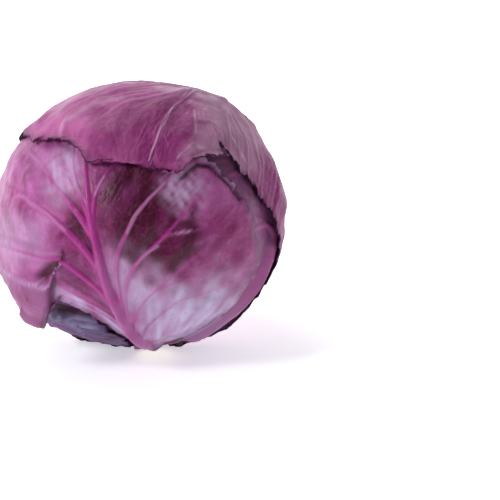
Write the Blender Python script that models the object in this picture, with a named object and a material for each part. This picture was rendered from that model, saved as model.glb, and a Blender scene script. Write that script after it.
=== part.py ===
"""Red cabbage head, whole, as cut from the plant and laid down to rest.

A cut stem, the tight heart of young leaves, and six wrapper leaves laid one over the
other. Each leaf is drawn flat, from its midrib and side ribs out to its margin, then
wrapped round the head and laid on whatever is already there. Sizes are in millimetres
until a mesh is made. The head rests on +Z's foot plane, and its front looks along -Y.
"""

import math
import random

import bmesh
import bpy
import numpy as np
from mathutils import Vector
from mathutils.bvhtree import BVHTree

MM = 0.001

# The heart, and how the head lies. The cut stem points down and a little to the front.
HEART_ACROSS = 157.0
HEART_TALL = 152.0
MIDDLE_HEIGHT = 78.6
STEM_LEAN = 20.0
STEM_TURN = 25.0
WRAP_RADIUS = 84.0

# How low each layer may hang where the head is pressed flat underneath
HEART_FLOOR = 6.2
LEFT_BACK_FLOOR = 4.2
LEFT_FLOOR = 2.8
RESTING_SPOT = (2.0, 15.0)

# The leaf blades and their ribs
BLADE = 1.0
LAID_GAP = 0.7
RAGGED = 1.6
RIB_LEAVES_AT = ((0, 75.0), (0.12, 46.0), (0.35, 34.0), (0.7, 28.0), (1.0, 18.0))
RIB_COLUMNS = (0.0, 0.5, 1.0)
BLADE_COLUMNS = 7

# The cut stem
STEM_RADIUS = 13.6
STEM_BEVEL = 1.2
STEM_INNER_END = 71.8
STEM_CUT_END = 77.2


def unit(v):
    v = np.asarray(v, float)
    return v / np.linalg.norm(v, axis=-1, keepdims=True)


def direction(azimuth, elevation):
    """Unit vector; azimuth 0 is the front (-Y), 90 the right (+X), both in degrees."""
    a, e = math.radians(azimuth), math.radians(elevation)
    return np.array([math.sin(a) * math.cos(e), -math.cos(a) * math.cos(e), math.sin(e)])


STEM = direction(STEM_TURN, STEM_LEAN - 90.0)
STEM_FRONT = unit(direction(0, 0) - (direction(0, 0) @ STEM) * STEM)
STEM_RIGHT = np.cross(-STEM, STEM_FRONT)
MIDDLE = np.array([0.0, 0.0, MIDDLE_HEIGHT])


def from_stem(turn, reach):
    """Direction `reach` degrees away from the cut stem, `turn` degrees round it from the front."""
    t, r = math.radians(turn), math.radians(reach)
    side = math.cos(t) * STEM_FRONT + math.sin(t) * STEM_RIGHT
    return math.cos(r) * STEM + math.sin(r) * side


def curve_through(points, x):
    """Smooth curve through (x, value) points, read at x."""
    xs, ys = np.array(points, float).T
    slope = np.gradient(ys, xs)
    i = np.clip(np.searchsorted(xs, x) - 1, 0, len(xs) - 2)
    width = xs[i + 1] - xs[i]
    t = np.clip((x - xs[i]) / width, 0.0, 1.0)
    start = (1 + 2 * t) * (1 - t) ** 2 * ys[i] + t * (1 - t) ** 2 * width * slope[i]
    end = t * t * (3 - 2 * t) * ys[i + 1] - t * t * (1 - t) * width * slope[i + 1]
    return start + end


def bump(distance, reach):
    """1 at no distance, falling smoothly to nothing at about twice `reach`."""
    return np.exp(-((distance / reach) ** 2))


def angle_between(directions, to):
    return np.degrees(np.arccos(np.clip(directions @ to, -1.0, 1.0)))


# The head's own form: where it bulges or sinks, as (direction, millimetres, degrees)
SHOULDER = (direction(60, 38), 2.0, 24.0)
FLAT_CROWN = (direction(0, 84), -4.2, 32.0)
LEFT_CHEEK = (direction(-86, 16), -7.0, 36.0)
LEFT_SHOULDER = (direction(-82, 40), -6.0, 26.0)
STEM_HOLLOW = (STEM, -6.5, 17.0)


def heart_radius(d):
    """Distance from the middle of the head to the heart's skin along unit directions d."""
    across, tall = HEART_ACROSS / 2, HEART_TALL / 2
    flat = (d[..., 0] ** 2 + d[..., 1] ** 2) / across**2
    radius = 1.0 / np.sqrt(flat + d[..., 2] ** 2 / tall**2)
    for towards, height, spread in (SHOULDER, LEFT_SHOULDER, FLAT_CROWN, LEFT_CHEEK, STEM_HOLLOW):
        radius = radius + height * bump(angle_between(d, towards), spread)
    lobes = np.sin(3 * np.arctan2(d[..., 0], -d[..., 1]) + 0.6)
    return radius + 0.8 * lobes * (1 - d[..., 2] ** 2)


def mesh_object(name, points, faces, material):
    """A new object from points in millimetres round the middle of the head."""
    mesh = bpy.data.meshes.new(name)
    mesh.from_pydata([tuple(p * MM) for p in points], [], faces)
    mesh.validate()
    obj = bpy.data.objects.new(name, mesh)
    bpy.context.scene.collection.objects.link(obj)
    obj.data.materials.append(material)
    mesh.shade_smooth()
    mesh.set_sharp_from_angle(angle=math.radians(50))
    return obj


def leaf_skin(name, colour, roughness=0.42):
    material = bpy.data.materials.new(name)
    material.use_nodes = True
    shader = material.node_tree.nodes["Principled BSDF"]
    shader.inputs["Base Color"].default_value = (*colour, 1.0)
    shader.inputs["Roughness"].default_value = roughness
    shader.inputs["Metallic"].default_value = 0.0
    return material


class Laid:
    """What already lies on the head: finds how far out it reaches along a direction."""

    def __init__(self):
        self.trees = []

    def add(self, points, faces):
        self.trees.append(BVHTree.FromPolygons([tuple(p) for p in points], faces))

    def radius(self, d):
        far = 2.0 * HEART_ACROSS
        out = []
        for one in d.reshape(-1, 3):
            start = Vector(MIDDLE + one * far)
            reached = 0.0
            for tree in self.trees:
                _, _, _, gone = tree.ray_cast(start, Vector(-one), far)
                if gone is not None:
                    reached = max(reached, far - gone)
            out.append(reached)
        return np.array(out).reshape(d.shape[:-1])


class Leaf:
    """One wrapper leaf, drawn flat: +y runs up its midrib, x across it, in millimetres.

    Its midrib and its two margins are lists of places on the head, each a (turn, reach)
    from the cut stem, all running from the leaf's base to its tip. ribs are the side ribs:
    (share of the midrib where it starts, where it ends along the right margin, along the
    left margin), an end of 2.5 being halfway from the margin's third place to its fourth.
    """

    def __init__(self, turn, reach, midrib, right, left, ribs, midrib_size, rib_size, seed):
        self.middle = from_stem(turn, reach)
        beyond = from_stem(turn, reach + 5.0)
        self.up = unit(beyond - self.middle * math.cos(math.radians(5.0)))
        self.right = np.cross(self.up, self.middle)
        self.midrib = np.array([self.flat(place) for place in midrib])
        self.margins = [np.array([self.flat(place) for place in side]) for side in (right, left)]
        ends = (len(right) - 1.0, len(left) - 1.0)
        self.ribs = [(0.0, 0.0, 0.0), *ribs, (1.0, *ends)]
        self.midrib_size = midrib_size
        self.rib_size = rib_size
        self.chance = random.Random(seed)

    def flat(self, place):
        """Where a place on the head lies on the flat leaf."""
        d = from_stem(*place)
        side = np.array([d @ self.right, d @ self.up])
        return side / np.linalg.norm(side) * math.acos(d @ self.middle) * WRAP_RADIUS

    def wrap(self, x, y):
        """Directions from the middle of the head of flat points on the leaf."""
        far = np.maximum(np.hypot(x, y), 1e-9)
        bend = far / WRAP_RADIUS
        side = (x / far)[..., None] * self.right + (y / far)[..., None] * self.up
        return np.cos(bend)[..., None] * self.middle + np.sin(bend)[..., None] * side

    def narrowing(self, x, y):
        """How much wrapping narrows the leaf there, so that ribs keep their real width."""
        bend = np.maximum(np.hypot(x, y) / WRAP_RADIUS, 1e-6)
        return np.sin(bend) / bend

    def half_row(self, share, side, end, ragged):
        """Flat points of one half row, from the midrib out to the margin."""
        places = np.linspace(0.0, 1.0, len(self.midrib))
        root = np.array([float(curve_through(list(zip(places, c)), share)) for c in self.midrib.T])
        ahead = [float(curve_through(list(zip(places, c)), min(share + 0.04, 1.0)))
                 - float(curve_through(list(zip(places, c)), max(share - 0.04, 0.0)))
                 for c in self.midrib.T]
        along = unit(ahead)
        outward = side * np.array([along[1], -along[0]])
        margin = self.margins[0 if side > 0 else 1]
        low = min(int(end), len(margin) - 2)
        tip = margin[low] + (end - low) * (margin[low + 1] - margin[low])
        tip = tip + ragged * unit(tip - root)
        leave = math.radians(float(curve_through(RIB_LEAVES_AT, share)))
        length = np.linalg.norm(tip - root)
        turn = root + 0.4 * length * (math.cos(leave) * along + math.sin(leave) * outward)
        half = float(curve_through(self.midrib_size[1], share))
        half = half / self.narrowing(*root) / max(math.sin(leave), 0.35)
        foot = min(half / length, 0.3)
        columns = [foot * c for c in RIB_COLUMNS]
        columns += [foot + (1 - foot) * (k + 1) / BLADE_COLUMNS for k in range(BLADE_COLUMNS)]
        v = np.array(columns)[:, None]
        return (1 - v) ** 2 * root + 2 * v * (1 - v) * turn + v**2 * tip

    def row(self, at, ragged):
        left = self.half_row(at[0], -1, at[2], ragged[1])[::-1]
        right = self.half_row(at[0], 1, at[1], ragged[0])
        return np.vstack([left, right[1:]])

    def flat_rows(self):
        """All rows of the flat leaf, and which of them are the crests of side ribs."""
        rows, crest = [], []
        ribs = np.array(self.ribs, float)
        for k, at in enumerate(ribs):
            ragged = [self.chance.uniform(-RAGGED, RAGGED) * (0 < k < len(ribs) - 1) for _ in "rl"]
            middle = self.row(at, ragged)
            if 0 < k < len(ribs) - 1:
                away = np.abs(np.arange(len(middle)) - len(middle) // 2)
                away = np.clip((away - 2) / (len(middle) // 2 - 2), 0.0, 1.0)
                half = self.rib_size[1] * (1 - 0.55 * away)[:, None]
                for sense in (-1, 1):
                    near = self.row(at + (ribs[k + sense] - at) * 0.4, ragged)
                    gap = np.linalg.norm(near - middle, axis=1, keepdims=True)
                    hold = np.minimum(half / self.narrowing(*middle.T)[:, None] / gap, 1.0)
                    rows.append(middle + (near - middle) * hold)
                    crest.append(0.0)
                    if sense < 0:
                        rows.append(middle)
                        crest.append(1.0)
            else:
                rows.append(middle)
                crest.append(0.0)
            if k < len(ribs) - 1:
                ragged = [self.chance.uniform(-RAGGED, RAGGED) for _ in "rl"]
                rows.append(self.row((at + ribs[k + 1]) / 2, ragged))
                crest.append(0.0)
        return np.array(rows), np.array(crest)


def between(grid, parts):
    """The grid's points with `parts` steps between neighbours, both ways."""
    for axis in (0, 1):
        count = grid.shape[axis]
        places = np.linspace(0, count - 1, (count - 1) * parts + 1)
        low = np.minimum(places.astype(int), count - 2)
        t = (places - low).reshape([-1 if k == axis else 1 for k in range(grid.ndim)])
        grid = np.take(grid, low, axis) * (1 - t) + np.take(grid, low + 1, axis) * t
    return grid


def rest_on(laid, leaf, flat, parts=6, smoothing=10):
    """Radius of the leaf's inner face at each grid point, draped over what lies under it."""
    fine = between(flat, parts)
    under = laid.radius(leaf.wrap(fine[..., 0], fine[..., 1]))
    rows, columns = flat.shape[:2]
    d = leaf.wrap(flat[..., 0], flat[..., 1]) * WRAP_RADIUS
    held = np.zeros((rows, columns))
    for i in range(rows):
        for j in range(columns):
            near = under[
                max(0, (i - 1) * parts) : (i + 1) * parts + 1,
                max(0, (j - 1) * parts) : (j + 1) * parts + 1,
            ]
            corners = d[max(0, i - 1) : i + 2, max(0, j - 1) : j + 2]
            longest = np.linalg.norm(corners - d[i, j], axis=-1).max()
            held[i, j] = near.max() + longest**2 / (8 * WRAP_RADIUS)
    radius = held.copy()
    for _ in range(smoothing):
        padded = np.pad(radius, 1, mode="edge")
        around = padded[:-2, 1:-1] + padded[2:, 1:-1] + padded[1:-1, :-2] + padded[1:-1, 2:]
        radius = np.maximum(held, around / 4)
    return radius + LAID_GAP


def rib_heights(leaf, flat, crest):
    """How far the ribs stand out of the blade at each grid point."""
    centre = flat.shape[1] // 2
    away = np.abs(np.arange(flat.shape[1]) - centre)
    along = np.linalg.norm(np.diff(flat[:, centre], axis=0), axis=1)
    share = np.concatenate([[0.0], np.cumsum(along)]) / along.sum()
    midrib = curve_through(leaf.midrib_size[0], share)
    profile = np.interp(away, [0, 1, 2], [1.0, 0.64, 0.0])
    out = midrib[:, None] * profile[None, :]
    thin = np.clip((away - 2) / (centre - 2), 0.0, 1.0)
    side = crest[:, None] * leaf.rib_size[0] * (1 - 0.75 * thin)[None, :]
    return np.maximum(out, np.where(away[None, :] >= 2, side, 0.0))


def sheet_faces(rows, columns):
    """Triangles of a closed sheet: outer face, inner face split the same way, and the rim."""
    def at(i, j, inner):
        return (i * columns + j) + (rows * columns if inner else 0)

    faces = []
    for i in range(rows - 1):
        for j in range(columns - 1):
            a, b, c, d = (i, j), (i, j + 1), (i + 1, j + 1), (i + 1, j)
            split = [(a, b, c), (a, c, d)] if j < columns // 2 else [(a, b, d), (b, c, d)]
            for corners in split:
                faces.append([at(*p, False) for p in corners])
                faces.append([at(*p, True) for p in reversed(corners)])
    loop = [(0, j) for j in range(columns)] + [(i, columns - 1) for i in range(1, rows)]
    loop += [(rows - 1, j) for j in range(columns - 2, -1, -1)]
    loop += [(i, 0) for i in range(rows - 2, 0, -1)]
    for p, q in zip(loop, loop[1:] + loop[:1]):
        faces.append([at(*p, False), at(*p, True), at(*q, True)])
        faces.append([at(*p, False), at(*q, True), at(*q, False)])
    return faces


def no_lift(x, y, d):
    return np.zeros_like(x)


def lay_leaf(name, leaf, laid, material, lift=no_lift, floor=0.0):
    """Wraps the leaf round the head over all that is laid there, and adds it to that.

    Under the head the leaf is pressed flat, with its outer face no lower than `floor`.
    """
    flat, crest = leaf.flat_rows()
    d = leaf.wrap(flat[..., 0], flat[..., 1])
    inner = rest_on(laid, leaf, flat) + lift(flat[..., 0], flat[..., 1], d)
    outer = inner + BLADE + rib_heights(leaf, flat, crest)
    outside = MIDDLE + d * outer[..., None]
    inside = MIDDLE + d * inner[..., None]
    outside[..., 2] = np.maximum(outside[..., 2], floor)
    inside[..., 2] = np.maximum(inside[..., 2], floor + 0.9 * BLADE)
    points = np.vstack([outside.reshape(-1, 3), inside.reshape(-1, 3)])
    faces = sheet_faces(*flat.shape[:2])
    laid.add(points, faces)
    return mesh_object(name, points, faces, material)


def heart(laid):
    """The tight ball of young leaves, with the edges of its outermost ones in low relief."""
    body = bmesh.new()
    bmesh.ops.create_icosphere(body, subdivisions=4, radius=1.0)
    edges = (from_stem(150, 120), from_stem(20, 110), from_stem(-110, 105))
    for vertex in body.verts:
        d = unit(np.array(vertex.co))
        radius = float(heart_radius(d))
        for towards in edges:
            radius += 0.8 / (1 + math.exp((float(angle_between(d, towards)) - 70) / 2.0))
        vertex.co = Vector(MIDDLE + d * radius)
        vertex.co.z = max(vertex.co.z, HEART_FLOOR)
    points = [np.array(v.co) for v in body.verts]
    faces = [[v.index for v in face.verts] for face in body.faces]
    body.free()
    laid.add(points, faces)
    return mesh_object("heart", points, faces, leaf_skin("heart_leaf", (0.42, 0.13, 0.33)))


def cut_stem():
    """The stub of stem left by the knife, round, with its cut face outwards."""
    length = (STEM_CUT_END - STEM_INNER_END) * MM
    place = Vector((MIDDLE + STEM * (STEM_CUT_END + STEM_INNER_END) / 2) * MM)
    bpy.ops.mesh.primitive_cylinder_add(
        vertices=24, radius=STEM_RADIUS * MM, depth=length, location=place
    )
    stub = bpy.context.active_object
    stub.name = "cut_stem"
    stub.rotation_mode = "QUATERNION"
    stub.rotation_quaternion = Vector(STEM).to_track_quat("Z", "Y")
    edge = stub.modifiers.new("worn edge", "BEVEL")
    edge.width = STEM_BEVEL * MM
    edge.segments = 2
    edge.limit_method = "ANGLE"
    stub.data.materials.append(leaf_skin("stem", (0.72, 0.62, 0.55), 0.6))
    stub.data.shade_smooth()
    stub.data.set_sharp_from_angle(angle=math.radians(40))
    return stub


def right_back_leaf(laid):
    midrib = [(124, 12), (126, 45), (128, 80), (130, 115), (132, 142)]
    right = [(146, 13), (158, 24), (170, 50), (172, 80), (168, 108), (158, 130), (132, 143)]
    left = [(100, 13), (90, 26), (80, 50), (78, 80), (84, 108), (100, 130), (132, 143)]
    ribs = [(k / 7, 0.3 + k * 0.82, 0.3 + k * 0.82) for k in range(1, 7)]
    midrib_size = ([(0, 4.0), (0.3, 3.0), (1, 0.5)], [(0, 8.0), (0.3, 5.0), (1, 2.0)])
    leaf = Leaf(126, 88, midrib, right, left, ribs, midrib_size, (1.1, 2.6), seed=11)
    lay_leaf("leaf_right_back", leaf, laid, leaf_skin("right_back_skin", (0.36, 0.12, 0.30)))


def left_back_leaf(laid):
    midrib = [(-142, 12), (-144, 45), (-147, 80), (-150, 115), (-152, 144)]
    right = [(-116, 13), (-106, 26), (-96, 50), (-94, 80), (-100, 108), (-116, 132), (-152, 145)]
    left = [(-170, 13), (-176, 24), (174, 50), (168, 80), (166, 108), (172, 132), (-152, 145)]
    ribs = [(k / 7, 0.3 + k * 0.82, 0.3 + k * 0.82) for k in range(1, 7)]
    midrib_size = ([(0, 4.0), (0.3, 3.0), (1, 0.5)], [(0, 8.0), (0.3, 5.0), (1, 2.0)])
    leaf = Leaf(-147, 90, midrib, right, left, ribs, midrib_size, (1.1, 2.6), seed=12)
    skin = leaf_skin("left_back_skin", (0.38, 0.13, 0.32))
    lay_leaf("leaf_left_back", leaf, laid, skin, floor=LEFT_BACK_FLOOR)


def right_leaf(laid):
    midrib = [(76, 12), (79, 45), (82, 80), (82, 115), (80, 146)]
    right = [(102, 13), (114, 24), (128, 48), (134, 80), (130, 108), (116, 132), (80, 147)]
    left = [(40, 13), (34, 24), (27, 46), (24, 76), (20, 106), (18, 130), (80, 147)]
    ribs = [(k / 7, 0.3 + k * 0.82, 0.3 + k * 0.82) for k in range(1, 7)]
    midrib_size = ([(0, 4.6), (0.3, 4.0), (1, 0.6)], [(0, 8.5), (0.3, 5.5), (1, 2.0)])
    leaf = Leaf(80, 82, midrib, right, left, ribs, midrib_size, (1.5, 2.8), seed=13)
    lay_leaf("leaf_right", leaf, laid, leaf_skin("right_skin", (0.40, 0.14, 0.34)))


def left_leaf(laid):
    midrib = [(-88, 12), (-90, 45), (-92, 80), (-94, 115), (-96, 146)]
    right = [(-56, 13), (-36, 19), (-24, 30), (-28, 55), (-34, 85), (-42, 112), (-60, 136), (-96, 147)]
    left = [(-118, 13), (-126, 26), (-136, 48), (-142, 76), (-140, 104), (-130, 126), (-96, 147)]
    ribs = [(k / 8, 0.3 + k * 0.84, 0.2 + k * 0.72) for k in range(1, 8)]
    midrib_size = ([(0, 4.6), (0.3, 4.0), (1, 0.6)], [(0, 8.5), (0.3, 5.5), (1, 2.0)])
    leaf = Leaf(-92, 84, midrib, right, left, ribs, midrib_size, (1.6, 2.8), seed=14)
    lay_leaf("leaf_left", leaf, laid, leaf_skin("left_skin", (0.34, 0.18, 0.36)), floor=LEFT_FLOOR)


# The front leaf buckles at its lower left: its outline and the pocket in it, on the flat leaf
BUCKLE = [
    (-22, 7), (-38, 12), (-60, 18), (-125, 20), (-125, -62), (-60, -60), (-50, -38),
    (-39, -24), (-33, -14), (-27, -7),
]
BUCKLE_RISE = 6.0
BUCKLE_SLOPE = 5.0
BUCKLE_TOP = (-54.0, -32.0)
BUCKLE_REACH = 36.0
POCKET = (-44.0, -1.5)
POCKET_SIZE = (13.0, 6.0)
POCKET_DEPTH = 4.5


def inside(x, y, outline, slope):
    """1 within a closed outline and 0 outside it, changing over `slope` to both sides."""
    near = np.full(x.shape, 1e9)
    within = np.zeros(x.shape, bool)
    for (ax, ay), (bx, by) in zip(outline, [*outline[1:], outline[0]]):
        long = (bx - ax) ** 2 + (by - ay) ** 2
        t = np.clip(((x - ax) * (bx - ax) + (y - ay) * (by - ay)) / long, 0.0, 1.0)
        near = np.minimum(near, np.hypot(x - ax - t * (bx - ax), y - ay - t * (by - ay)))
        if ay != by:
            within ^= ((ay > y) != (by > y)) & (x < ax + (y - ay) * (bx - ax) / (by - ay))
    t = np.clip((np.where(within, near, -near) + slope) / (2 * slope), 0.0, 1.0)
    return t * t * (3 - 2 * t)


def front_lift(x, y, d):
    """The buckle stands off the leaf beneath, with a pocket at the end of its crease."""
    buckle = BUCKLE_RISE * inside(x, y, BUCKLE, BUCKLE_SLOPE)
    buckle = buckle * bump(np.hypot(x - BUCKLE_TOP[0], y - BUCKLE_TOP[1]), BUCKLE_REACH)
    across = np.hypot((x - POCKET[0]) / POCKET_SIZE[0], (y - POCKET[1]) / POCKET_SIZE[1])
    return np.maximum(buckle - POCKET_DEPTH * bump(across, 1.0), 0.0)


def front_leaf(laid):
    midrib = [
        (-9, 11.6), (-9.9, 34), (-11, 51), (-12.3, 63), (-13.7, 75), (-14.9, 90),
        (-15.7, 111), (-17, 124),
    ]
    right = [
        (10, 13), (21, 21.5), (34, 30), (58, 44), (64, 62), (54, 81), (44.5, 94), (37, 104),
        (30, 113), (8, 121), (-17, 127),
    ]
    left = [
        (-26, 14), (-23, 38), (-33, 53), (-45, 59.5), (-64, 50), (-83, 55), (-92, 72),
        (-106, 92), (-108, 108), (-98, 126), (-74, 140), (-44, 137), (-17, 127),
    ]
    ribs = [
        (0.08, 1.2, 0.9), (0.15, 2.4, 2.0), (0.22, 3.5, 3.2), (0.30, 4.8, 5.4), (0.40, 6.2, 7.0),
        (0.52, 7.6, 8.6), (0.68, 8.6, 9.9), (0.84, 9.4, 11.2),
    ]
    midrib_size = (
        [(0, 4.2), (0.15, 4.8), (0.5, 3.6), (0.75, 1.8), (1, 0.4)],
        [(0, 4.8), (0.3, 4.8), (0.6, 4.0), (0.8, 2.4), (1, 1.6)],
    )
    leaf = Leaf(-15, 72.6, midrib, right, left, ribs, midrib_size, (1.6, 2.6), seed=21)
    lay_leaf("leaf_front", leaf, laid, leaf_skin("front_skin", (0.45, 0.15, 0.38)), front_lift)


# The crown leaf's crease over the right shoulder
FOLD_START = direction(61, 71)
FOLD_END = direction(95, 41)
FOLD_RISE = 2.4
FOLD_WIDTH = 6.0


def crown_lift(x, y, d):
    """The crown leaf is creased over the right shoulder, and meets the ground underneath."""
    off = np.degrees(np.arcsin(np.clip(np.abs(d @ unit(np.cross(FOLD_START, FOLD_END))), 0, 1)))
    along = angle_between(d, unit(FOLD_START + FOLD_END))
    crease = FOLD_RISE * np.exp(-off / FOLD_WIDTH) * bump(along, 24.0)
    deep, spread = RESTING_SPOT
    return crease + deep * bump(angle_between(d, np.array([0.0, 0.0, -1.0])), spread)


def crown_leaf(laid):
    midrib = [
        (160, 12.5), (155, 43), (147.4, 76.3), (135, 107.6), (109, 133), (79.2, 140.5),
        (50.5, 137.3), (28.5, 126.1), (18, 115.8), (12.2, 106.5),
    ]
    right = [
        (-150, 13), (-124, 22), (-116, 42), (-121, 66), (-124, 86), (-117, 106), (-99.5, 121),
        (-84, 131), (-78, 135.6), (-52, 129.3), (-40, 128.5), (-29.4, 126), (-18, 118.5),
        (-13.5, 111), (-4, 110), (4.7, 108.6), (10.6, 102.7),
    ]
    left = [
        (140, 14), (122, 22), (104, 33), (84, 58), (73, 74), (60, 88), (51, 98.5),
        (45.6, 107.5), (43, 110.5), (44.8, 104.8), (36.4, 104.9), (29.7, 105.2), (24.7, 103),
        (20, 100.2), (10.6, 102.7),
    ]
    ribs = [
        (0.08, 1.4, 1.2), (0.18, 2.8, 2.4), (0.29, 4.1, 3.5), (0.40, 5.2, 4.6), (0.51, 6.4, 5.7),
        (0.61, 8.5, 7.0), (0.71, 9.7, 9.0), (0.81, 11.2, 10.6), (0.91, 13.2, 12.6),
    ]
    midrib_size = (
        [(0, 3.0), (0.1, 4.2), (0.35, 3.4), (0.55, 1.8), (0.75, 1.0), (1, 0.3)],
        [(0, 6.5), (0.2, 6.0), (0.4, 4.4), (0.6, 3.0), (1, 1.6)],
    )
    leaf = Leaf(165, 125, midrib, right, left, ribs, midrib_size, (1.2, 2.6), seed=31)
    lay_leaf("leaf_crown", leaf, laid, leaf_skin("crown_skin", (0.40, 0.13, 0.36)), crown_lift)


def main():
    for old in list(bpy.data.objects):
        bpy.data.objects.remove(old)
    laid = Laid()
    heart(laid)
    cut_stem()
    right_back_leaf(laid)
    left_back_leaf(laid)
    right_leaf(laid)
    left_leaf(laid)
    front_leaf(laid)
    crown_leaf(laid)


main()
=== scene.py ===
import math
import random

import bpy
import numpy as np
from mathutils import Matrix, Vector
from mathutils.bvhtree import BVHTree


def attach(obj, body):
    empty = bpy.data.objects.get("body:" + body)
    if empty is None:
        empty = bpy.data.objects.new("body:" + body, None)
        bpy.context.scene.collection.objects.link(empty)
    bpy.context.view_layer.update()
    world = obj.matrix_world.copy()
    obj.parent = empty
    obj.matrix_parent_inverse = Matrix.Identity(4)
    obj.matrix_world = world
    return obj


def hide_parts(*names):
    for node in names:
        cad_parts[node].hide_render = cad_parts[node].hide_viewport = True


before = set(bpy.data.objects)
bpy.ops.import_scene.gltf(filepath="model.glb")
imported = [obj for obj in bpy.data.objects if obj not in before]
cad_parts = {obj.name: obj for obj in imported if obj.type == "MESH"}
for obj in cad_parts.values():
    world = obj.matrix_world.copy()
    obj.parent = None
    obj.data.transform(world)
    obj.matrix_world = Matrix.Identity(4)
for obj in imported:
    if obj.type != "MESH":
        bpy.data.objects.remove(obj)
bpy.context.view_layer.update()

# The heart: the hard ball of young leaves that everything else is wrapped round.
# The leaves grew pressed into one another, and only the edges of the last few stand
# out of the ball, in low relief. A strip of it shows round the cut stem.
MM = 0.001
HEART_ACROSS = 157.0
HEART_TALL = 152.0
MIDDLE = np.array([0.0, 0.0, 78.6])
STEM_LEAN = 20.0
STEM_TURN = 25.0
HEART_FLOOR = 6.2
HEART_COLOUR = (0.42, 0.10, 0.30, 1.0)
HEART_PALE = (0.55, 0.36, 0.52, 1.0)
HEART_EDGES = ((150, 120), (20, 110), (-110, 105), (60, 150), (-60, 60))
HEART_EDGE_REACH = 70.0
HEART_EDGE_FADE = 1.5
HEART_EDGE_RISE = 0.5


def unit(v):
    v = np.asarray(v, float)
    return v / np.linalg.norm(v, axis=-1, keepdims=True)


def direction(azimuth, elevation):
    """Unit vector; azimuth 0 is the front (-Y), 90 the right (+X), both in degrees."""
    a, e = math.radians(azimuth), math.radians(elevation)
    return np.array([math.sin(a) * math.cos(e), -math.cos(a) * math.cos(e), math.sin(e)])


STEM = direction(STEM_TURN, STEM_LEAN - 90.0)
STEM_FRONT = unit(direction(0, 0) - (direction(0, 0) @ STEM) * STEM)
STEM_RIGHT = np.cross(-STEM, STEM_FRONT)


def from_stem(turn, reach):
    """Direction `reach` degrees away from the cut stem, `turn` degrees round it from the front."""
    t, r = math.radians(turn), math.radians(reach)
    side = math.cos(t) * STEM_FRONT + math.sin(t) * STEM_RIGHT
    return math.cos(r) * STEM + math.sin(r) * side


def angle_between(directions, to):
    """Angles in degrees between unit directions and one more."""
    return np.degrees(np.arccos(np.clip(directions @ to, -1.0, 1.0)))


def bump(distance, reach):
    """1 at no distance, falling smoothly to nothing at about twice `reach`."""
    return np.exp(-((distance / reach) ** 2))


def soft_step(low, high, x):
    """0 at low, 1 at high and smooth between, either way round."""
    t = np.clip((x - low) / (high - low), 0.0, 1.0)
    return t * t * (3 - 2 * t)


SHOULDER = (direction(60, 38), 2.0, 24.0)
FLAT_CROWN = (direction(0, 84), -4.2, 32.0)
LEFT_CHEEK = (direction(-86, 16), -7.0, 36.0)
LEFT_SHOULDER = (direction(-82, 40), -6.0, 26.0)
STEM_HOLLOW = (STEM, -6.5, 17.0)
UNDERCUT = (direction(-58, -62), -8.5, 18.0)


def heart_radius(d):
    """Distance from the middle of the head to the heart's skin along unit directions d."""
    flat = (d[..., 0] ** 2 + d[..., 1] ** 2) / (HEART_ACROSS / 2) ** 2
    radius = 1.0 / np.sqrt(flat + d[..., 2] ** 2 / (HEART_TALL / 2) ** 2)
    shapes = (SHOULDER, LEFT_SHOULDER, FLAT_CROWN, LEFT_CHEEK, STEM_HOLLOW, UNDERCUT)
    for towards, height, spread in shapes:
        radius = radius + height * bump(angle_between(d, towards), spread)
    lobes = np.sin(3 * np.arctan2(d[..., 0], -d[..., 1]) + 0.6)
    return radius + 0.8 * lobes * (1 - d[..., 2] ** 2)


def link_chain(nodes, links):
    """Joins sockets: each link is (from node, output, to node, input)."""
    for start, output, end, entry in links:
        nodes.id_data.links.new(start.outputs[output], end.inputs[entry])


OUTSIDE = 300.0


class Laid:
    """What already lies on the head: finds how far out it reaches along a direction."""

    def __init__(self):
        self.trees = []

    def add(self, piece):
        points = [v.co / MM for v in piece.data.vertices]
        faces = [tuple(p.vertices) for p in piece.data.polygons]
        self.trees.append(BVHTree.FromPolygons(points, faces))

    def radius(self, d):
        out = []
        for one in d.reshape(-1, 3):
            start, inward = Vector(MIDDLE + one * OUTSIDE), Vector(-one)
            reached = 0.0
            for tree in self.trees:
                gone = tree.ray_cast(start, inward, OUTSIDE)[3]
                if gone is not None:
                    reached = max(reached, OUTSIDE - gone)
            out.append(reached)
        return np.array(out).reshape(d.shape[:-1])


bpy.ops.object.select_all(action="DESELECT")
bpy.ops.mesh.primitive_ico_sphere_add(subdivisions=6, radius=1.0)
heart = bpy.context.active_object
heart.name = "inner_heart"
d = unit([v.co for v in heart.data.vertices])
radius = heart_radius(d)
for turn, reach in HEART_EDGES:
    away = angle_between(d, from_stem(turn, reach))
    ragged = 1.4 * np.sin(d @ np.array([23.0, 17.0, 29.0]) + turn)
    fade_end = HEART_EDGE_REACH + HEART_EDGE_FADE
    radius += HEART_EDGE_RISE * soft_step(fade_end, HEART_EDGE_REACH, away + ragged)
points = MIDDLE + d * radius[:, None]
points[:, 2] = np.maximum(points[:, 2], HEART_FLOOR)
heart.data.vertices.foreach_set("co", (points * MM).ravel())
heart.data.update()
heart.data.shade_smooth()
laid = Laid()
laid.add(heart)

heart_skin = bpy.data.materials.new("heart skin")
heart_skin.use_nodes = True
nodes = heart_skin.node_tree.nodes
shader = nodes["Principled BSDF"]
shader.inputs["Roughness"].default_value = 0.45
where = nodes.new("ShaderNodeTexCoord")
patches = nodes.new("ShaderNodeTexNoise")
patches.inputs["Scale"].default_value = 60.0
tint = nodes.new("ShaderNodeMix")
tint.data_type = "RGBA"
tint.inputs["A"].default_value = HEART_COLOUR
tint.inputs["B"].default_value = HEART_PALE
link_chain(nodes, (
    (where, "Object", patches, "Vector"), (patches, "Fac", tint, "Factor"),
    (tint, "Result", shader, "Base Color"),
))
heart.data.materials.append(heart_skin)
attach(heart, "root")
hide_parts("heart")

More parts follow.
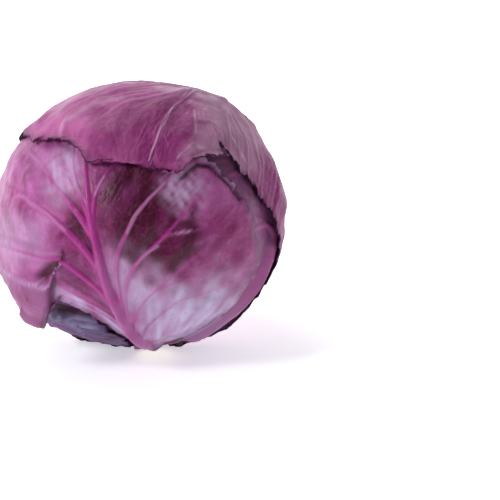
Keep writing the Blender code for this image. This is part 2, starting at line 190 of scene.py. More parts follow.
# The cut stem: the stub that the knife left, 27 mm across, just proud of the heart.
# A thin violet rind, a pale ring of tough fibres and a softer pith, sliced flat and
# dried a little, so that the pith has sunk and its fibres show.
STEM_RADIUS = 13.6
STEM_INNER_END = 71.8
STEM_CUT_END = 77.2
RIND = 1.3
FIBRE_RING = 2.6

bpy.ops.object.select_all(action="DESELECT")
bpy.ops.mesh.primitive_cylinder_add(
    vertices=96, radius=STEM_RADIUS * MM, depth=(STEM_CUT_END - STEM_INNER_END) * MM
)
stub = bpy.context.active_object
stub.name = "cut_stem_end"
bpy.ops.object.mode_set(mode="EDIT")
bpy.ops.mesh.select_all(action="DESELECT")
bpy.ops.object.mode_set(mode="OBJECT")
for face in stub.data.polygons:
    face.select = face.normal.z > 0.9
bpy.ops.object.mode_set(mode="EDIT")
bpy.ops.mesh.inset(thickness=0.5 * MM, depth=0.35 * MM)
bpy.ops.mesh.inset(thickness=(RIND - 0.5) * MM, depth=0.0)
bpy.ops.mesh.inset(thickness=0.3 * MM, depth=-0.25 * MM)
bpy.ops.mesh.inset(thickness=FIBRE_RING * MM, depth=0.15 * MM)
for ring in range(7):
    bpy.ops.mesh.inset(thickness=1.2 * MM, depth=-0.07 * MM)
bpy.ops.mesh.poke()
bpy.ops.object.mode_set(mode="OBJECT")
edge = stub.modifiers.new("worn edge", "BEVEL")
edge.width = 0.4 * MM
edge.segments = 2
edge.limit_method = "ANGLE"
bpy.ops.object.modifier_apply(modifier=edge.name)
aim = Vector(STEM).to_track_quat("Z", "Y")
middle = Vector((MIDDLE + STEM * (STEM_CUT_END + STEM_INNER_END) / 2) * MM)
for vertex in stub.data.vertices:
    around = math.atan2(vertex.co.y, vertex.co.x)
    out = math.hypot(vertex.co.x, vertex.co.y) / (STEM_RADIUS * MM)
    fibre = 0.12 * math.sin(23 * around + 9 * out) * math.sin(17 * out * math.cos(around))
    swell = 1 + 0.02 * math.sin(3 * around) + 0.012 * math.sin(7 * around + 1)
    vertex.co.x *= swell
    vertex.co.y *= swell
    if vertex.co.z > 0 and out < 0.97:
        vertex.co.z += fibre * MM
    vertex.co = aim @ vertex.co + middle
stub.data.shade_smooth()
stub.data.set_sharp_from_angle(angle=math.radians(40))

stem_flesh = bpy.data.materials.new("cut stem flesh")
stem_flesh.use_nodes = True
nodes = stem_flesh.node_tree.nodes
shader = nodes["Principled BSDF"]
shader.inputs["Roughness"].default_value = 0.55
shader.inputs["Subsurface Weight"].default_value = 0.1
where = nodes.new("ShaderNodeTexCoord")
from_axis = nodes.new("ShaderNodeVectorMath")
from_axis.operation = "SUBTRACT"
from_axis.inputs[1].default_value = tuple((MIDDLE + STEM * STEM_CUT_END) * MM)
length = nodes.new("ShaderNodeVectorMath")
length.operation = "LENGTH"
rings = nodes.new("ShaderNodeValToRGB")
rings.color_ramp.elements[0].color = (0.70, 0.68, 0.52, 1.0)
rings.color_ramp.elements[1].color = (0.30, 0.10, 0.26, 1.0)
rings.color_ramp.elements[0].position = 0.0
rings.color_ramp.elements[1].position = 0.97
for at, colour in (
    (0.62, (0.74, 0.70, 0.58, 1.0)), (0.70, (0.50, 0.36, 0.44, 1.0)),
    (0.76, (0.80, 0.74, 0.66, 1.0)), (0.89, (0.72, 0.58, 0.62, 1.0)),
):
    rings.color_ramp.elements.new(at).color = colour
span = nodes.new("ShaderNodeMath")
span.operation = "MULTIPLY"
span.inputs[1].default_value = 1.0 / (STEM_RADIUS * MM)
grain = nodes.new("ShaderNodeTexNoise")
grain.inputs["Scale"].default_value = 900.0
dried = nodes.new("ShaderNodeMix")
dried.data_type = "RGBA"
dried.blend_type = "MULTIPLY"
dried.inputs["B"].default_value = (0.80, 0.66, 0.56, 1.0)
lumps = nodes.new("ShaderNodeBump")
lumps.inputs["Strength"].default_value = 0.4
lumps.inputs["Distance"].default_value = 0.0004
link_chain(nodes, (
    (where, "Object", from_axis, 0), (from_axis, "Vector", length, 0),
    (length, "Value", span, 0), (span, "Value", rings, "Fac"),
    (where, "Object", grain, "Vector"), (grain, "Fac", dried, "Factor"),
    (rings, "Color", dried, "A"), (dried, "Result", shader, "Base Color"),
    (grain, "Fac", lumps, "Height"), (lumps, "Normal", shader, "Normal"),
))
stub.data.materials.append(stem_flesh)
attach(stub, "root")
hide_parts("cut_stem")

# The right back leaf: the first of six wrapper leaves, hidden but for its base beside the
# cut stem. Each grew as a flat blade on one thick midrib with side ribs, was wrapped
# round the head as the head swelled, and holds on by its broad base at the stem.
WRAP_RADIUS = 84.0
BLADE = 0.9
LAID_GAP = 1.25
RIB_LEAVES_AT = ((0, 75.0), (0.12, 46.0), (0.35, 34.0), (0.7, 28.0), (1.0, 18.0))
RAGGED_EDGE = ((0.9, 0.37, 0.0), (0.6, 0.93, 1.0), (0.4, 2.1, 2.0))
WRINKLE = 0.35
FINE_WRINKLE = 0.20
BLISTER_STARTS = 7.0
RIB_REACH = 30.0
MARGIN_ROLL = 0.5
MARGIN_BAND = 2.6
END_ROWS = 7.0
LEAF_TINTS = ("Blade", "Pale Blade", "Deep Blade", "Rib", "Bloom Tint", "Margin Tint")


def curve_through(points, x):
    """Smooth curve through (x, value) points, read at x."""
    xs, ys = np.array(points, float).T
    slope = np.gradient(ys, xs)
    i = np.clip(np.searchsorted(xs, x) - 1, 0, len(xs) - 2)
    width = xs[i + 1] - xs[i]
    t = np.clip((x - xs[i]) / width, 0.0, 1.0)
    start = (1 + 2 * t) * (1 - t) ** 2 * ys[i] + t * (1 - t) ** 2 * width * slope[i]
    end = t * t * (3 - 2 * t) * ys[i + 1] - t * t * (1 - t) * width * slope[i + 1]
    return start + end


def waves(x, y, length, seed):
    """Smooth random ups and downs between about -1 and 1, `length` millimetres apart."""
    chance = random.Random(seed)
    total = np.zeros_like(x)
    for _ in range(9):
        turn = chance.uniform(0, math.tau)
        stride = math.tau / (length * chance.uniform(0.7, 1.5))
        total += np.sin(stride * (x * math.cos(turn) + y * math.sin(turn)) + chance.uniform(0, 7))
    return total / 3.6


class Leaf:
    """One wrapper leaf, drawn flat: +y runs up its midrib, x across it, in millimetres.

    Its midrib and its two margins are lists of places on the head, each a (turn, reach)
    from the cut stem, all running from the leaf's base to its tip. ribs are the side ribs:
    (share of the midrib where it starts, where it ends along the right margin, along the
    left margin), an end of 2.5 being halfway from the margin's third place to its fourth.
    Only the side ribs from number grown[0] to grown[1] stand out; drawn are further veins,
    each (half its width, its height, its flat points from the midrib outward).
    """

    def __init__(self, turn, reach, midrib, right, left, ribs, midrib_size, rib_size, seed,
                 drawn=(), grown=(1, 99)):
        self.middle = from_stem(turn, reach)
        beyond = from_stem(turn, reach + 5.0)
        self.up = unit(beyond - self.middle * math.cos(math.radians(5.0)))
        self.right = np.cross(self.up, self.middle)
        self.midrib = np.array([self.flat(place) for place in midrib])
        self.margins = [np.array([self.flat(place) for place in side]) for side in (right, left)]
        steps = [np.diff(margin, axis=0, prepend=margin[:1]) for margin in self.margins]
        self.gone = [np.cumsum(np.hypot(*step.T)) for step in steps]
        ends = (len(right) - 1.0, len(left) - 1.0)
        self.ribs = np.array([(0.0, 0.0, 0.0), *ribs, (1.0, *ends)])
        self.midrib_size = midrib_size
        self.rib_size = rib_size
        self.seed = seed
        self.drawn = drawn
        self.grown = grown

    def flat(self, place):
        """Where a place on the head lies on the flat leaf."""
        d = from_stem(*place)
        side = np.array([d @ self.right, d @ self.up])
        return side / np.linalg.norm(side) * math.acos(d @ self.middle) * WRAP_RADIUS

    def wrap(self, x, y):
        """Directions from the middle of the head of flat points on the leaf."""
        far = np.maximum(np.hypot(x, y), 1e-9)
        bend = far / WRAP_RADIUS
        side = (x / far)[..., None] * self.right + (y / far)[..., None] * self.up
        return np.cos(bend)[..., None] * self.middle + np.sin(bend)[..., None] * side

    def narrowing(self, x, y):
        """How much wrapping narrows the leaf there, so that ribs keep their real width."""
        bend = np.maximum(np.hypot(x, y) / WRAP_RADIUS, 1e-6)
        return np.sin(bend) / bend

    def midrib_at(self, share):
        """Flat points at shares of the midrib, from 0 at the base to 1 at the tip."""
        places = np.linspace(0.0, 1.0, len(self.midrib))
        return np.stack([curve_through(list(zip(places, c)), share) for c in self.midrib.T], -1)

    def point(self, rib, side, out):
        """Flat points at rib number `rib`, whole or between, and `out` from midrib to margin."""
        numbers = np.arange(len(self.ribs))
        share = np.interp(rib, numbers, self.ribs[:, 0])
        end = np.interp(rib, numbers, self.ribs[:, 1 if side > 0 else 2])
        margin = self.margins[0 if side > 0 else 1]
        stops = np.arange(len(margin))
        tip = np.stack([np.interp(end, stops, c) for c in margin.T], -1)
        root = self.midrib_at(share)
        ahead = self.midrib_at(np.minimum(share + 0.04, 1))
        along = unit(ahead - self.midrib_at(np.maximum(share - 0.04, 0)))
        outward = side * np.stack([along[..., 1], -along[..., 0]], -1)
        reach = tip - root
        length = np.linalg.norm(reach, axis=-1)[..., None]
        arc = np.interp(end, stops, self.gone[0 if side > 0 else 1]) + self.seed
        ragged = sum(deep * np.sin(arc * often + start) for deep, often, start in RAGGED_EDGE)
        outwards = reach / np.maximum(length, 1e-6)
        tip = tip + outwards * ragged[..., None] * np.minimum(length / 20.0, 1.0)
        leave = np.radians(curve_through(RIB_LEAVES_AT, share))[..., None]
        turn = root + 0.4 * length * (np.cos(leave) * along + np.sin(leave) * outward)
        v = out[..., None]
        return (1 - v) ** 2 * root + 2 * v * (1 - v) * turn + v**2 * tip

    def spread_rows(self, rows):
        """Rib numbers of the grid's rows, closest where the leaf's margins are longest."""
        fine = np.linspace(0.0, len(self.ribs) - 1.0, 600)
        far = np.zeros(599)
        for side in (-1, 1):
            for out in (0.6, 1.0):
                line = self.point(fine, side, np.full(600, out))
                far += np.hypot(*np.diff(line, axis=0).T)
        far = np.convolve(np.pad(far, 30, mode="edge"), np.ones(61) / 61, mode="valid")
        gone = np.concatenate([[0.0], np.cumsum(far + 0.25 * far.mean())])
        return np.interp(np.linspace(0.0, gone[-1], rows + 1), gone, fine)

    def veins(self):
        """The side ribs, their forks and the small cross veins: (flat points, width, height)."""
        chance = random.Random(self.seed)
        tall, wide = self.rib_size
        out = np.linspace(0.0, 1.0, 60)
        found = []
        for half, high, points in self.drawn:
            places = np.linspace(0.0, 1.0, len(points))
            line = [curve_through(list(zip(places, c)), out) for c in np.array(points, float).T]
            found.append((np.stack(line, -1), half, high, 0.0))
        for side in (-1, 1):
            for rib in range(self.grown[0], min(self.grown[1], len(self.ribs) - 1)):
                sway = 0.05 * np.sin(out * chance.uniform(5, 8) + chance.uniform(0, 6))
                found.append((self.point(rib + sway, side, out), wide, tall, 0.0))
                for fork, way in ((chance.uniform(0.25, 0.4), 1), (chance.uniform(0.45, 0.6), -1),
                                  (chance.uniform(0.62, 0.75), 1)):
                    part = np.linspace(fork, 1.0, 40)
                    leave = way * chance.uniform(0.3, 0.42) * soft_step(fork - 0.1, 1.0, part)
                    branch = np.interp(part, out, sway) + leave - leave[0]
                    found.append((self.point(rib + branch, side, part), wide * 0.6, tall * 0.5, fork))
            for rib in range(len(self.ribs) - 1):
                for step in range(9):
                    start = (step + chance.uniform(0.3, 0.9)) / 10
                    cross = np.linspace(0.0, 1.0, 16)
                    bow = start + chance.uniform(-0.06, 0.06) * cross
                    bow = bow + 0.04 * np.sin(math.pi * cross) + 0.012 * np.sin(9 * cross)
                    found.append((self.point(rib + cross, side, bow), 0.8, 0.16, start))
        return found


def inside(x, y, outline, soft):
    """1 within a closed outline on the flat leaf, 0 outside, changing over `soft` millimetres."""
    near = np.full(x.shape, 1e9)
    within = np.zeros(x.shape, bool)
    for (ax, ay), (bx, by) in zip(outline, [*outline[1:], outline[0]]):
        long = (bx - ax) ** 2 + (by - ay) ** 2
        t = np.clip(((x - ax) * (bx - ax) + (y - ay) * (by - ay)) / long, 0, 1)
        near = np.minimum(near, np.hypot(x - ax - t * (bx - ax), y - ay - t * (by - ay)))
        if ay != by:
            within ^= ((ay > y) != (by > y)) & (x < ax + (y - ay) * (bx - ax) / (by - ay))
    return soft_step(-soft, soft, np.where(within, near, -near))


def near_curve(x, y, curve, reach):
    """For the points within `reach` of a curve: which they are, how near, and how far along."""
    low, high = curve.min(0) - reach, curve.max(0) + reach
    near = np.flatnonzero((x > low[0]) & (x < high[0]) & (y > low[1]) & (y < high[1]))
    best = np.full(len(near), 1e9)
    along = np.zeros(len(near))
    px, py = x[near], y[near]
    for k, (a, b) in enumerate(zip(curve[:-1], curve[1:])):
        step = b - a
        t = np.clip(((px - a[0]) * step[0] + (py - a[1]) * step[1]) / max(step @ step, 1e-9), 0, 1)
        off = np.hypot(px - a[0] - t * step[0], py - a[1] - t * step[1])
        nearer = off < best
        best[nearer] = off[nearer]
        along[nearer] = (k + t[nearer]) / (len(curve) - 1)
    return near, best, along


def leaf_relief(leaf, x, y, rib, out, puff):
    """How far the ribs and the blistered blade stand out, and how much of it is rib."""
    shape = x.shape
    fold = 1 - 1.7 * np.abs(waves(rib * 15.0, out * 34.0, 11.0, leaf.seed + 4))
    fine_fold = 1 - 1.7 * np.abs(waves(rib * 15.0, out * 26.0, 5.0, leaf.seed + 5))
    patchy = np.clip(0.5 + waves(x, y, 45.0, leaf.seed + 6), 0, 1)
    wrinkles = WRINKLE * np.maximum(fold, 0) ** 2 + FINE_WRINKLE * np.maximum(fine_fold, 0) ** 2
    wrinkles = (wrinkles * patchy).ravel()
    x, y = x.ravel(), y.ravel()
    width_left = leaf.narrowing(x, y)
    ribs = np.zeros_like(x)
    nearest = np.full_like(x, RIB_REACH)
    fine = np.zeros_like(x)
    share = np.linspace(0.0, 1.0, 120)
    stalk = leaf.midrib_at(share)
    near, off, along = near_curve(x, y, stalk, RIB_REACH)
    half = curve_through(leaf.midrib_size[1], along)
    t = off * width_left[near] / half
    high = curve_through(leaf.midrib_size[0], along)
    ribs[near] = high * np.maximum(1 - t * t, 0) ** 1.3
    nearest[near] = np.minimum(nearest[near], np.maximum(off * width_left[near] - half, 0))
    for curve, wide, tall, start in leaf.veins():
        near, off, along = near_curve(x, y, curve, 16.0 if wide > 1 else 2.0)
        slim = 1 - 0.6 * (start + (1 - start) * along)
        t = off * width_left[near] / (wide * slim)
        rise = tall * (1 - 0.72 * (start + (1 - start) * along)) * np.maximum(1 - t * t, 0) ** 1.3
        if wide > 1:
            ribs[near] = (ribs[near] ** 4 + rise**4) ** 0.25
            nearest[near] = np.minimum(nearest[near], off * width_left[near])
        else:
            fine[near] = np.maximum(fine[near], rise)
    blister = puff * (1 - np.exp(-((nearest / BLISTER_STARTS) ** 2)))
    blister = blister * (0.75 + 0.35 * waves(x, y, 26.0, leaf.seed))
    rise = ribs + fine * (ribs < 0.2) + blister + wrinkles * np.clip(nearest / 3.0, 0, 1)
    rise += 0.5 * waves(x, y, 38.0, leaf.seed + 1) + 0.10 * waves(x, y, 7.0, leaf.seed + 2)
    mask = np.clip(ribs / 0.8, 0, 1) + 0.25 * np.clip(fine / 0.16, 0, 1) * (ribs < 0.2)
    return rise.reshape(shape), np.clip(mask, 0, 1).reshape(shape)


def smoothed(grid, times):
    """The grid with each value drawn halfway to its neighbours' mean, `times` over."""
    for _ in range(times):
        padded = np.pad(grid, 1, mode="edge")
        around = padded[:-2, 1:-1] + padded[2:, 1:-1] + padded[1:-1, :-2] + padded[1:-1, 2:]
        grid = (grid + around / 4) / 2
    return grid


def widened(grid):
    """The grid with each value raised to the highest of its nine."""
    padded = np.pad(grid, 1, mode="edge")
    rows, columns = grid.shape
    shifts = [(i, j) for i in range(3) for j in range(3)]
    return np.max([padded[i:i + rows, j:j + columns] for i, j in shifts], axis=0)


def resting_radius(leaf, x, y):
    """Radius of the leaf's inner face, draped over all that lies under it."""
    rows, columns = x.shape
    pick_rows = np.unique(np.append(np.arange(0, rows, 3), rows - 1))
    pick_columns = np.unique(np.append(np.arange(0, columns, 3), columns - 1))
    picked = np.ix_(pick_rows, pick_columns)
    held = widened(laid.radius(leaf.wrap(x[picked], y[picked])))
    radius = held
    for _ in range(40):
        radius = np.maximum(held, smoothed(radius, 1))
    radius = np.stack([np.interp(np.arange(columns), pick_columns, row) for row in radius])
    radius = np.stack([np.interp(np.arange(rows), pick_rows, c) for c in radius.T], axis=1)
    return smoothed(radius, 12) + LAID_GAP


def lay_leaf(name, leaf, rows, columns, marks, lift=None, puff=1.0, floor=0.0, lean=None):
    """Makes the leaf's mesh from a grid, wraps it over what is laid there, and adds it.

    marks(x, y, to_edge) gives the masks that the leaf's skin reads, lift(x, y, d, to_edge)
    what stands out further, and lean(x, y) how far raised parts lean sideways.
    """
    rib = leaf.spread_rows(rows)
    across = np.linspace(-1.0, 1.0, columns + 1)
    out = np.abs(across) ** 1.2
    half = (columns + 1) // 2
    left = leaf.point(np.repeat(rib[:, None], half, 1), -1, np.tile(out[:half], (rows + 1, 1)))
    right = leaf.point(
        np.repeat(rib[:, None], columns + 1 - half, 1), 1, np.tile(out[half:], (rows + 1, 1))
    )
    x, y = np.moveaxis(np.concatenate([left, right], axis=1), -1, 0)
    over_x, over_y = lean(x, y) if lean else (0, 0)
    d = leaf.wrap(x + over_x, y + over_y)
    rise, rib_mask = leaf_relief(leaf, x, y, rib[:, None] + 0 * x, np.abs(across)[None, :] + 0 * x, puff)
    span = np.hypot(x[:, -1] - x[:, half], y[:, -1] - y[:, half])[:, None]
    to_end = np.minimum(rib, rib[-1] - rib)[:, None] / len(leaf.ribs) * span * END_ROWS
    to_edge = np.minimum((1 - np.abs(across)) * span, to_end)
    rise = rise * soft_step(-1.0, 5.0, to_edge)
    radius = resting_radius(leaf, x + over_x, y + over_y) + BLADE + rise
    radius += MARGIN_ROLL * bump(to_edge, 3.0) * (1 + waves(x, y, 16.0, leaf.seed + 3))
    if lift is not None:
        radius += lift(x, y, d, to_edge)
    points = MIDDLE + d * radius[..., None]
    points[..., 2] = np.maximum(points[..., 2], floor)

    bpy.ops.object.select_all(action="DESELECT")
    bpy.ops.mesh.primitive_grid_add(x_subdivisions=columns, y_subdivisions=rows, size=2.0)
    piece = bpy.context.active_object
    piece.name = name
    start = np.empty(len(piece.data.vertices) * 3)
    piece.data.vertices.foreach_get("co", start)
    start = start.reshape(-1, 3)
    j = np.rint((start[:, 0] + 1) / 2 * columns).astype(int)
    i = np.rint((start[:, 1] + 1) / 2 * rows).astype(int)
    piece.data.vertices.foreach_set("co", (points[i, j] * MM).ravel())
    place = piece.data.attributes.new("place", "FLOAT_VECTOR", "POINT")
    spot = np.stack([x[i, j], y[i, j], np.full(len(i), leaf.seed * 10.0)], -1) * MM
    place.data.foreach_set("vector", spot.ravel())
    shown = {"rib": rib_mask, "margin": bump(to_edge, MARGIN_BAND), **marks(x, y, to_edge)}
    for key, values in shown.items():
        mark = piece.data.attributes.new(key, "FLOAT", "POINT")
        mark.data.foreach_set("value", np.clip(values, 0, 1)[i, j])
    piece.data.update()
    wall = piece.modifiers.new("blade", "SOLIDIFY")
    wall.thickness = BLADE * MM
    wall.offset = -1.0
    bpy.ops.object.modifier_apply(modifier=wall.name)
    piece.data.shade_smooth()
    laid.add(piece)
    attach(piece, "root")
    return piece


def mixed(nodes, links, a, b, factor):
    """A colour mix whose inputs are sockets or plain values, given as its result socket."""
    mix = nodes.new("ShaderNodeMix")
    mix.data_type = "RGBA"
    for entry, value in (("A", a), ("B", b), ("Factor", factor)):
        socket = [s for s in mix.inputs if s.name == entry and s.enabled][0]
        if hasattr(value, "links"):
            links.new(value, socket)
        else:
            socket.default_value = value
    return [s for s in mix.outputs if s.enabled][0]


def worked(nodes, links, operation, a, b):
    """One sum on values or sockets, given as its result socket."""
    sum_node = nodes.new("ShaderNodeMath")
    sum_node.operation = operation
    sum_node.use_clamp = operation != "SUBTRACT"
    for entry, value in ((0, a), (1, b)):
        if hasattr(value, "links"):
            links.new(value, sum_node.inputs[entry])
        else:
            sum_node.inputs[entry].default_value = value
    return sum_node.outputs[0]


def leaf_surface_group():
    """Colour, roughness and height of a leaf's skin: blade, ribs, net of veins and bloom.

    The piece's own attributes say where its ribs, margin, wax bloom, deep and light blade lie; the bloom
    also carries painted sheen and highlights, the deep painted shade, the light painted highlights and a
    painted lit side, and the margin's dark band is partly a painted shadow under the edge.
    """
    group = bpy.data.node_groups.new("leaf surface", "ShaderNodeTree")
    face = group.interface
    for name in LEAF_TINTS:
        face.new_socket(name, in_out="INPUT", socket_type="NodeSocketColor")
    face.new_socket("Colour", in_out="OUTPUT", socket_type="NodeSocketColor")
    for name in ("Roughness", "Height"):
        face.new_socket(name, in_out="OUTPUT", socket_type="NodeSocketFloat")
    nodes, links = group.nodes, group.links
    given = nodes.new("NodeGroupInput").outputs
    result = nodes.new("NodeGroupOutput").inputs

    def read(name, output):
        node = nodes.new("ShaderNodeAttribute")
        node.attribute_name = name
        return node.outputs[output]

    place = read("place", "Vector")
    rib, margin = read("rib", "Fac"), read("margin", "Fac")
    bloom, deep, light = read("bloom", "Fac"), read("deep", "Fac"), read("light", "Fac")

    def noise(scale, detail=3.0, roughness=0.5):
        node = nodes.new("ShaderNodeTexNoise")
        node.inputs["Scale"].default_value = scale
        node.inputs["Detail"].default_value = detail
        node.inputs["Roughness"].default_value = roughness
        links.new(place, node.inputs["Vector"])
        return node.outputs["Fac"]

    def ramp(value, low, high):
        node = nodes.new("ShaderNodeMapRange")
        node.interpolation_type = "SMOOTHSTEP"
        node.inputs["From Min"].default_value = low
        node.inputs["From Max"].default_value = high
        links.new(value, node.inputs["Value"])
        return node.outputs["Result"]

    def net(scale, thin):
        bend = nodes.new("ShaderNodeTexNoise")
        bend.inputs["Scale"].default_value = scale * 0.9
        links.new(place, bend.inputs["Vector"])
        push = nodes.new("ShaderNodeVectorMath")
        push.operation = "MULTIPLY_ADD"
        push.inputs[1].default_value = (0.6 / scale,) * 3
        links.new(bend.outputs["Color"], push.inputs[0])
        links.new(place, push.inputs[2])
        cells = nodes.new("ShaderNodeTexVoronoi")
        cells.feature = "DISTANCE_TO_EDGE"
        cells.inputs["Scale"].default_value = scale
        links.new(push.outputs[0], cells.inputs["Vector"])
        return ramp(cells.outputs["Distance"], thin, 0.0)

    broad = ramp(noise(22.0, 2.0), 0.38, 0.66)
    blotch = ramp(noise(70.0, 4.0, 0.6), 0.35, 0.75)
    speck = noise(420.0, 4.0, 0.65)
    wide_net, fine_net = net(125.0, 0.07), net(420.0, 0.09)

    mottle = ramp(noise(170.0, 5.0, 0.62), 0.48, 0.68)
    # The light attribute lifts the blade towards its pale tint: partly its own paler tone, partly painted
    # highlights and a painted lit side.
    streak = worked(nodes, links, "ADD", light, worked(nodes, links, "MULTIPLY", broad, 0.45))
    streak = worked(nodes, links, "ADD", streak, worked(nodes, links, "MULTIPLY", mottle, 0.35))
    colour = mixed(nodes, links, given["Blade"], given["Pale Blade"], streak)
    # The deep attribute darkens the blade: partly its own wine-dark tone, partly painted shade in hollows,
    # folds, gaps and under ribs.
    colour = mixed(nodes, links, colour, given["Deep Blade"], deep)
    stain = worked(nodes, links, "MULTIPLY", blotch, 0.33)
    colour = mixed(nodes, links, colour, given["Deep Blade"], stain)
    lines = worked(nodes, links, "MULTIPLY", wide_net, 0.09)
    lines = worked(nodes, links, "ADD", lines, worked(nodes, links, "MULTIPLY", fine_net, 0.07))
    colour = mixed(nodes, links, colour, given["Rib"], lines)
    # Bloom tint over the bloom attribute: real wax bloom, and also painted sheen and highlights laid in with
    # it.
    grainy = worked(nodes, links, "ADD", ramp(speck, 0.2, 0.6), 0.45)
    wax_and_highlight = worked(nodes, links, "MULTIPLY", worked(nodes, links, "MULTIPLY", bloom, grainy), 0.95)
    colour = mixed(nodes, links, colour, given["Bloom Tint"], wax_and_highlight)
    # On the ribs the bloom tint gives painted highlights along them as well as wax.
    rib_wax = worked(nodes, links, "MULTIPLY", bloom, 0.45)
    rib_tone = mixed(nodes, links, given["Rib"], given["Bloom Tint"], rib_wax)
    colour = mixed(nodes, links, colour, rib_tone, worked(nodes, links, "MULTIPLY", rib, 0.85))
    # Dark margin: the leaf's own dried edge, darkened further as a painted shadow of the gap under it.
    edge = worked(nodes, links, "MULTIPLY", margin, 0.5)
    edge = worked(nodes, links, "ADD", edge, worked(nodes, links, "MULTIPLY", ramp(margin, 0.9, 1.0), 0.5))
    colour = mixed(nodes, links, colour, given["Margin Tint"], edge)
    links.new(colour, result["Colour"])

    dull = worked(nodes, links, "MULTIPLY", bloom, 0.16)
    dull = worked(nodes, links, "ADD", dull, worked(nodes, links, "MULTIPLY", speck, 0.14))
    dull = worked(nodes, links, "ADD", dull, 0.33)
    dull = worked(nodes, links, "SUBTRACT", dull, worked(nodes, links, "MULTIPLY", rib, 0.10))
    links.new(dull, result["Roughness"])
    height = worked(nodes, links, "MULTIPLY", wide_net, 0.22)
    height = worked(nodes, links, "ADD", height, worked(nodes, links, "MULTIPLY", fine_net, 0.12))
    height = worked(nodes, links, "ADD", height, worked(nodes, links, "MULTIPLY", speck, 0.22))
    links.new(height, result["Height"])
    return group


def leaf_skin(name, blade, pale, deep, rib, bloom, margin, shine=0.2):
    """A leaf's material: satin, waxy, with the surface group's colour and fine relief."""
    skin = bpy.data.materials.new(name)
    skin.use_nodes = True
    nodes, links = skin.node_tree.nodes, skin.node_tree.links
    shader = nodes["Principled BSDF"]
    shader.inputs["Specular IOR Level"].default_value = shine
    shader.inputs["Coat Weight"].default_value = 0.2 * shine
    shader.inputs["Coat Roughness"].default_value = 0.22
    surface = nodes.new("ShaderNodeGroup")
    surface.node_tree = bpy.data.node_groups.get("leaf surface") or leaf_surface_group()
    tints = (blade, pale, deep, rib, bloom, margin)
    for name, tint in zip(LEAF_TINTS, tints):
        surface.inputs[name].default_value = (*tint, 1.0)
    relief = nodes.new("ShaderNodeBump")
    relief.inputs["Strength"].default_value = 0.55
    relief.inputs["Distance"].default_value = 0.0006
    links.new(surface.outputs["Colour"], shader.inputs["Base Color"])
    links.new(surface.outputs["Roughness"], shader.inputs["Roughness"])
    links.new(surface.outputs["Height"], relief.inputs["Height"])
    links.new(relief.outputs["Normal"], shader.inputs["Normal"])
    return skin


def even_marks(x, y, to_edge):
    """Wax bloom thick near the base and thin above, wine dark in places."""
    bloom = 0.75 * soft_step(-20.0, -95.0, y + 12 * waves(x, y, 40.0, 5))
    dark = 0.6 * np.clip(waves(x, y, 60.0, 15), 0, 1)
    return {"bloom": np.maximum(bloom, 0.18), "deep": dark, "light": 0 * x}


PLUM = (0.22, 0.028, 0.140)
MAUVE = (0.36, 0.095, 0.27)
BURGUNDY = (0.060, 0.004, 0.026)
RIB_PINK = (0.38, 0.075, 0.26)
BLOOM_LAVENDER = (0.36, 0.30, 0.46)
DARK_EDGE = (0.07, 0.012, 0.050)

midrib = [(124, 12), (126, 45), (128, 80), (130, 115), (132, 142)]
right = [(146, 13), (158, 24), (170, 50), (172, 80), (168, 108), (158, 130), (132, 143)]
left = [(100, 13), (90, 26), (80, 50), (78, 80), (84, 108), (100, 130), (132, 143)]
even_ribs = [(k / 7, 0.3 + k * 0.82, 0.3 + k * 0.82) for k in range(1, 7)]
slim_midrib = ([(0, 4.0), (0.3, 3.0), (1, 0.5)], [(0, 8.0), (0.3, 5.0), (1, 2.0)])
leaf = Leaf(126, 88, midrib, right, left, even_ribs, slim_midrib, (1.1, 2.6), seed=11)
right_back = lay_leaf("wrapper_leaf_right_back", leaf, 130, 120, even_marks)
wrapper_skin = leaf_skin("wrapper leaf", PLUM, MAUVE, BURGUNDY, RIB_PINK, BLOOM_LAVENDER, DARK_EDGE)
right_back.data.materials.append(wrapper_skin)
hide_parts("leaf_right_back")

# The left back leaf: the second wrapper, like the first, and hidden but for its base behind
# the cut stem. It meets the ground only through the leaves over it, pressed flat there.
midrib = [(-142, 12), (-144, 45), (-147, 80), (-150, 115), (-152, 144)]
right = [(-116, 13), (-106, 26), (-96, 50), (-94, 80), (-100, 108), (-116, 132), (-152, 145)]
left = [(-170, 13), (-176, 24), (174, 50), (168, 80), (166, 108), (172, 132), (-152, 145)]
leaf = Leaf(-147, 90, midrib, right, left, even_ribs, slim_midrib, (1.1, 2.6), seed=12)
left_back = lay_leaf("wrapper_leaf_left_back", leaf, 130, 120, even_marks, floor=4.2)
left_back.data.materials.append(wrapper_skin)
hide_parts("leaf_left_back")

# The right leaf: it wraps the right side, shows through the tear in the crown leaf and
# along the front leaf's right edge, and carries a strong midrib up the side.
midrib = [(76, 12), (79, 45), (82, 80), (82, 115), (80, 146)]
right = [(102, 13), (114, 24), (128, 48), (134, 80), (130, 108), (116, 132), (80, 147)]
left = [(40, 13), (34, 24), (27, 46), (24, 76), (20, 106), (18, 130), (80, 147)]
side_midrib = ([(0, 4.6), (0.3, 4.0), (1, 0.6)], [(0, 8.5), (0.3, 5.5), (1, 2.0)])
leaf = Leaf(80, 82, midrib, right, left, even_ribs, side_midrib, (1.5, 2.8), seed=13)
right_side = lay_leaf("wrapper_leaf_right", leaf, 170, 160, even_marks)
right_side.data.materials.append(wrapper_skin)
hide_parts("leaf_right")

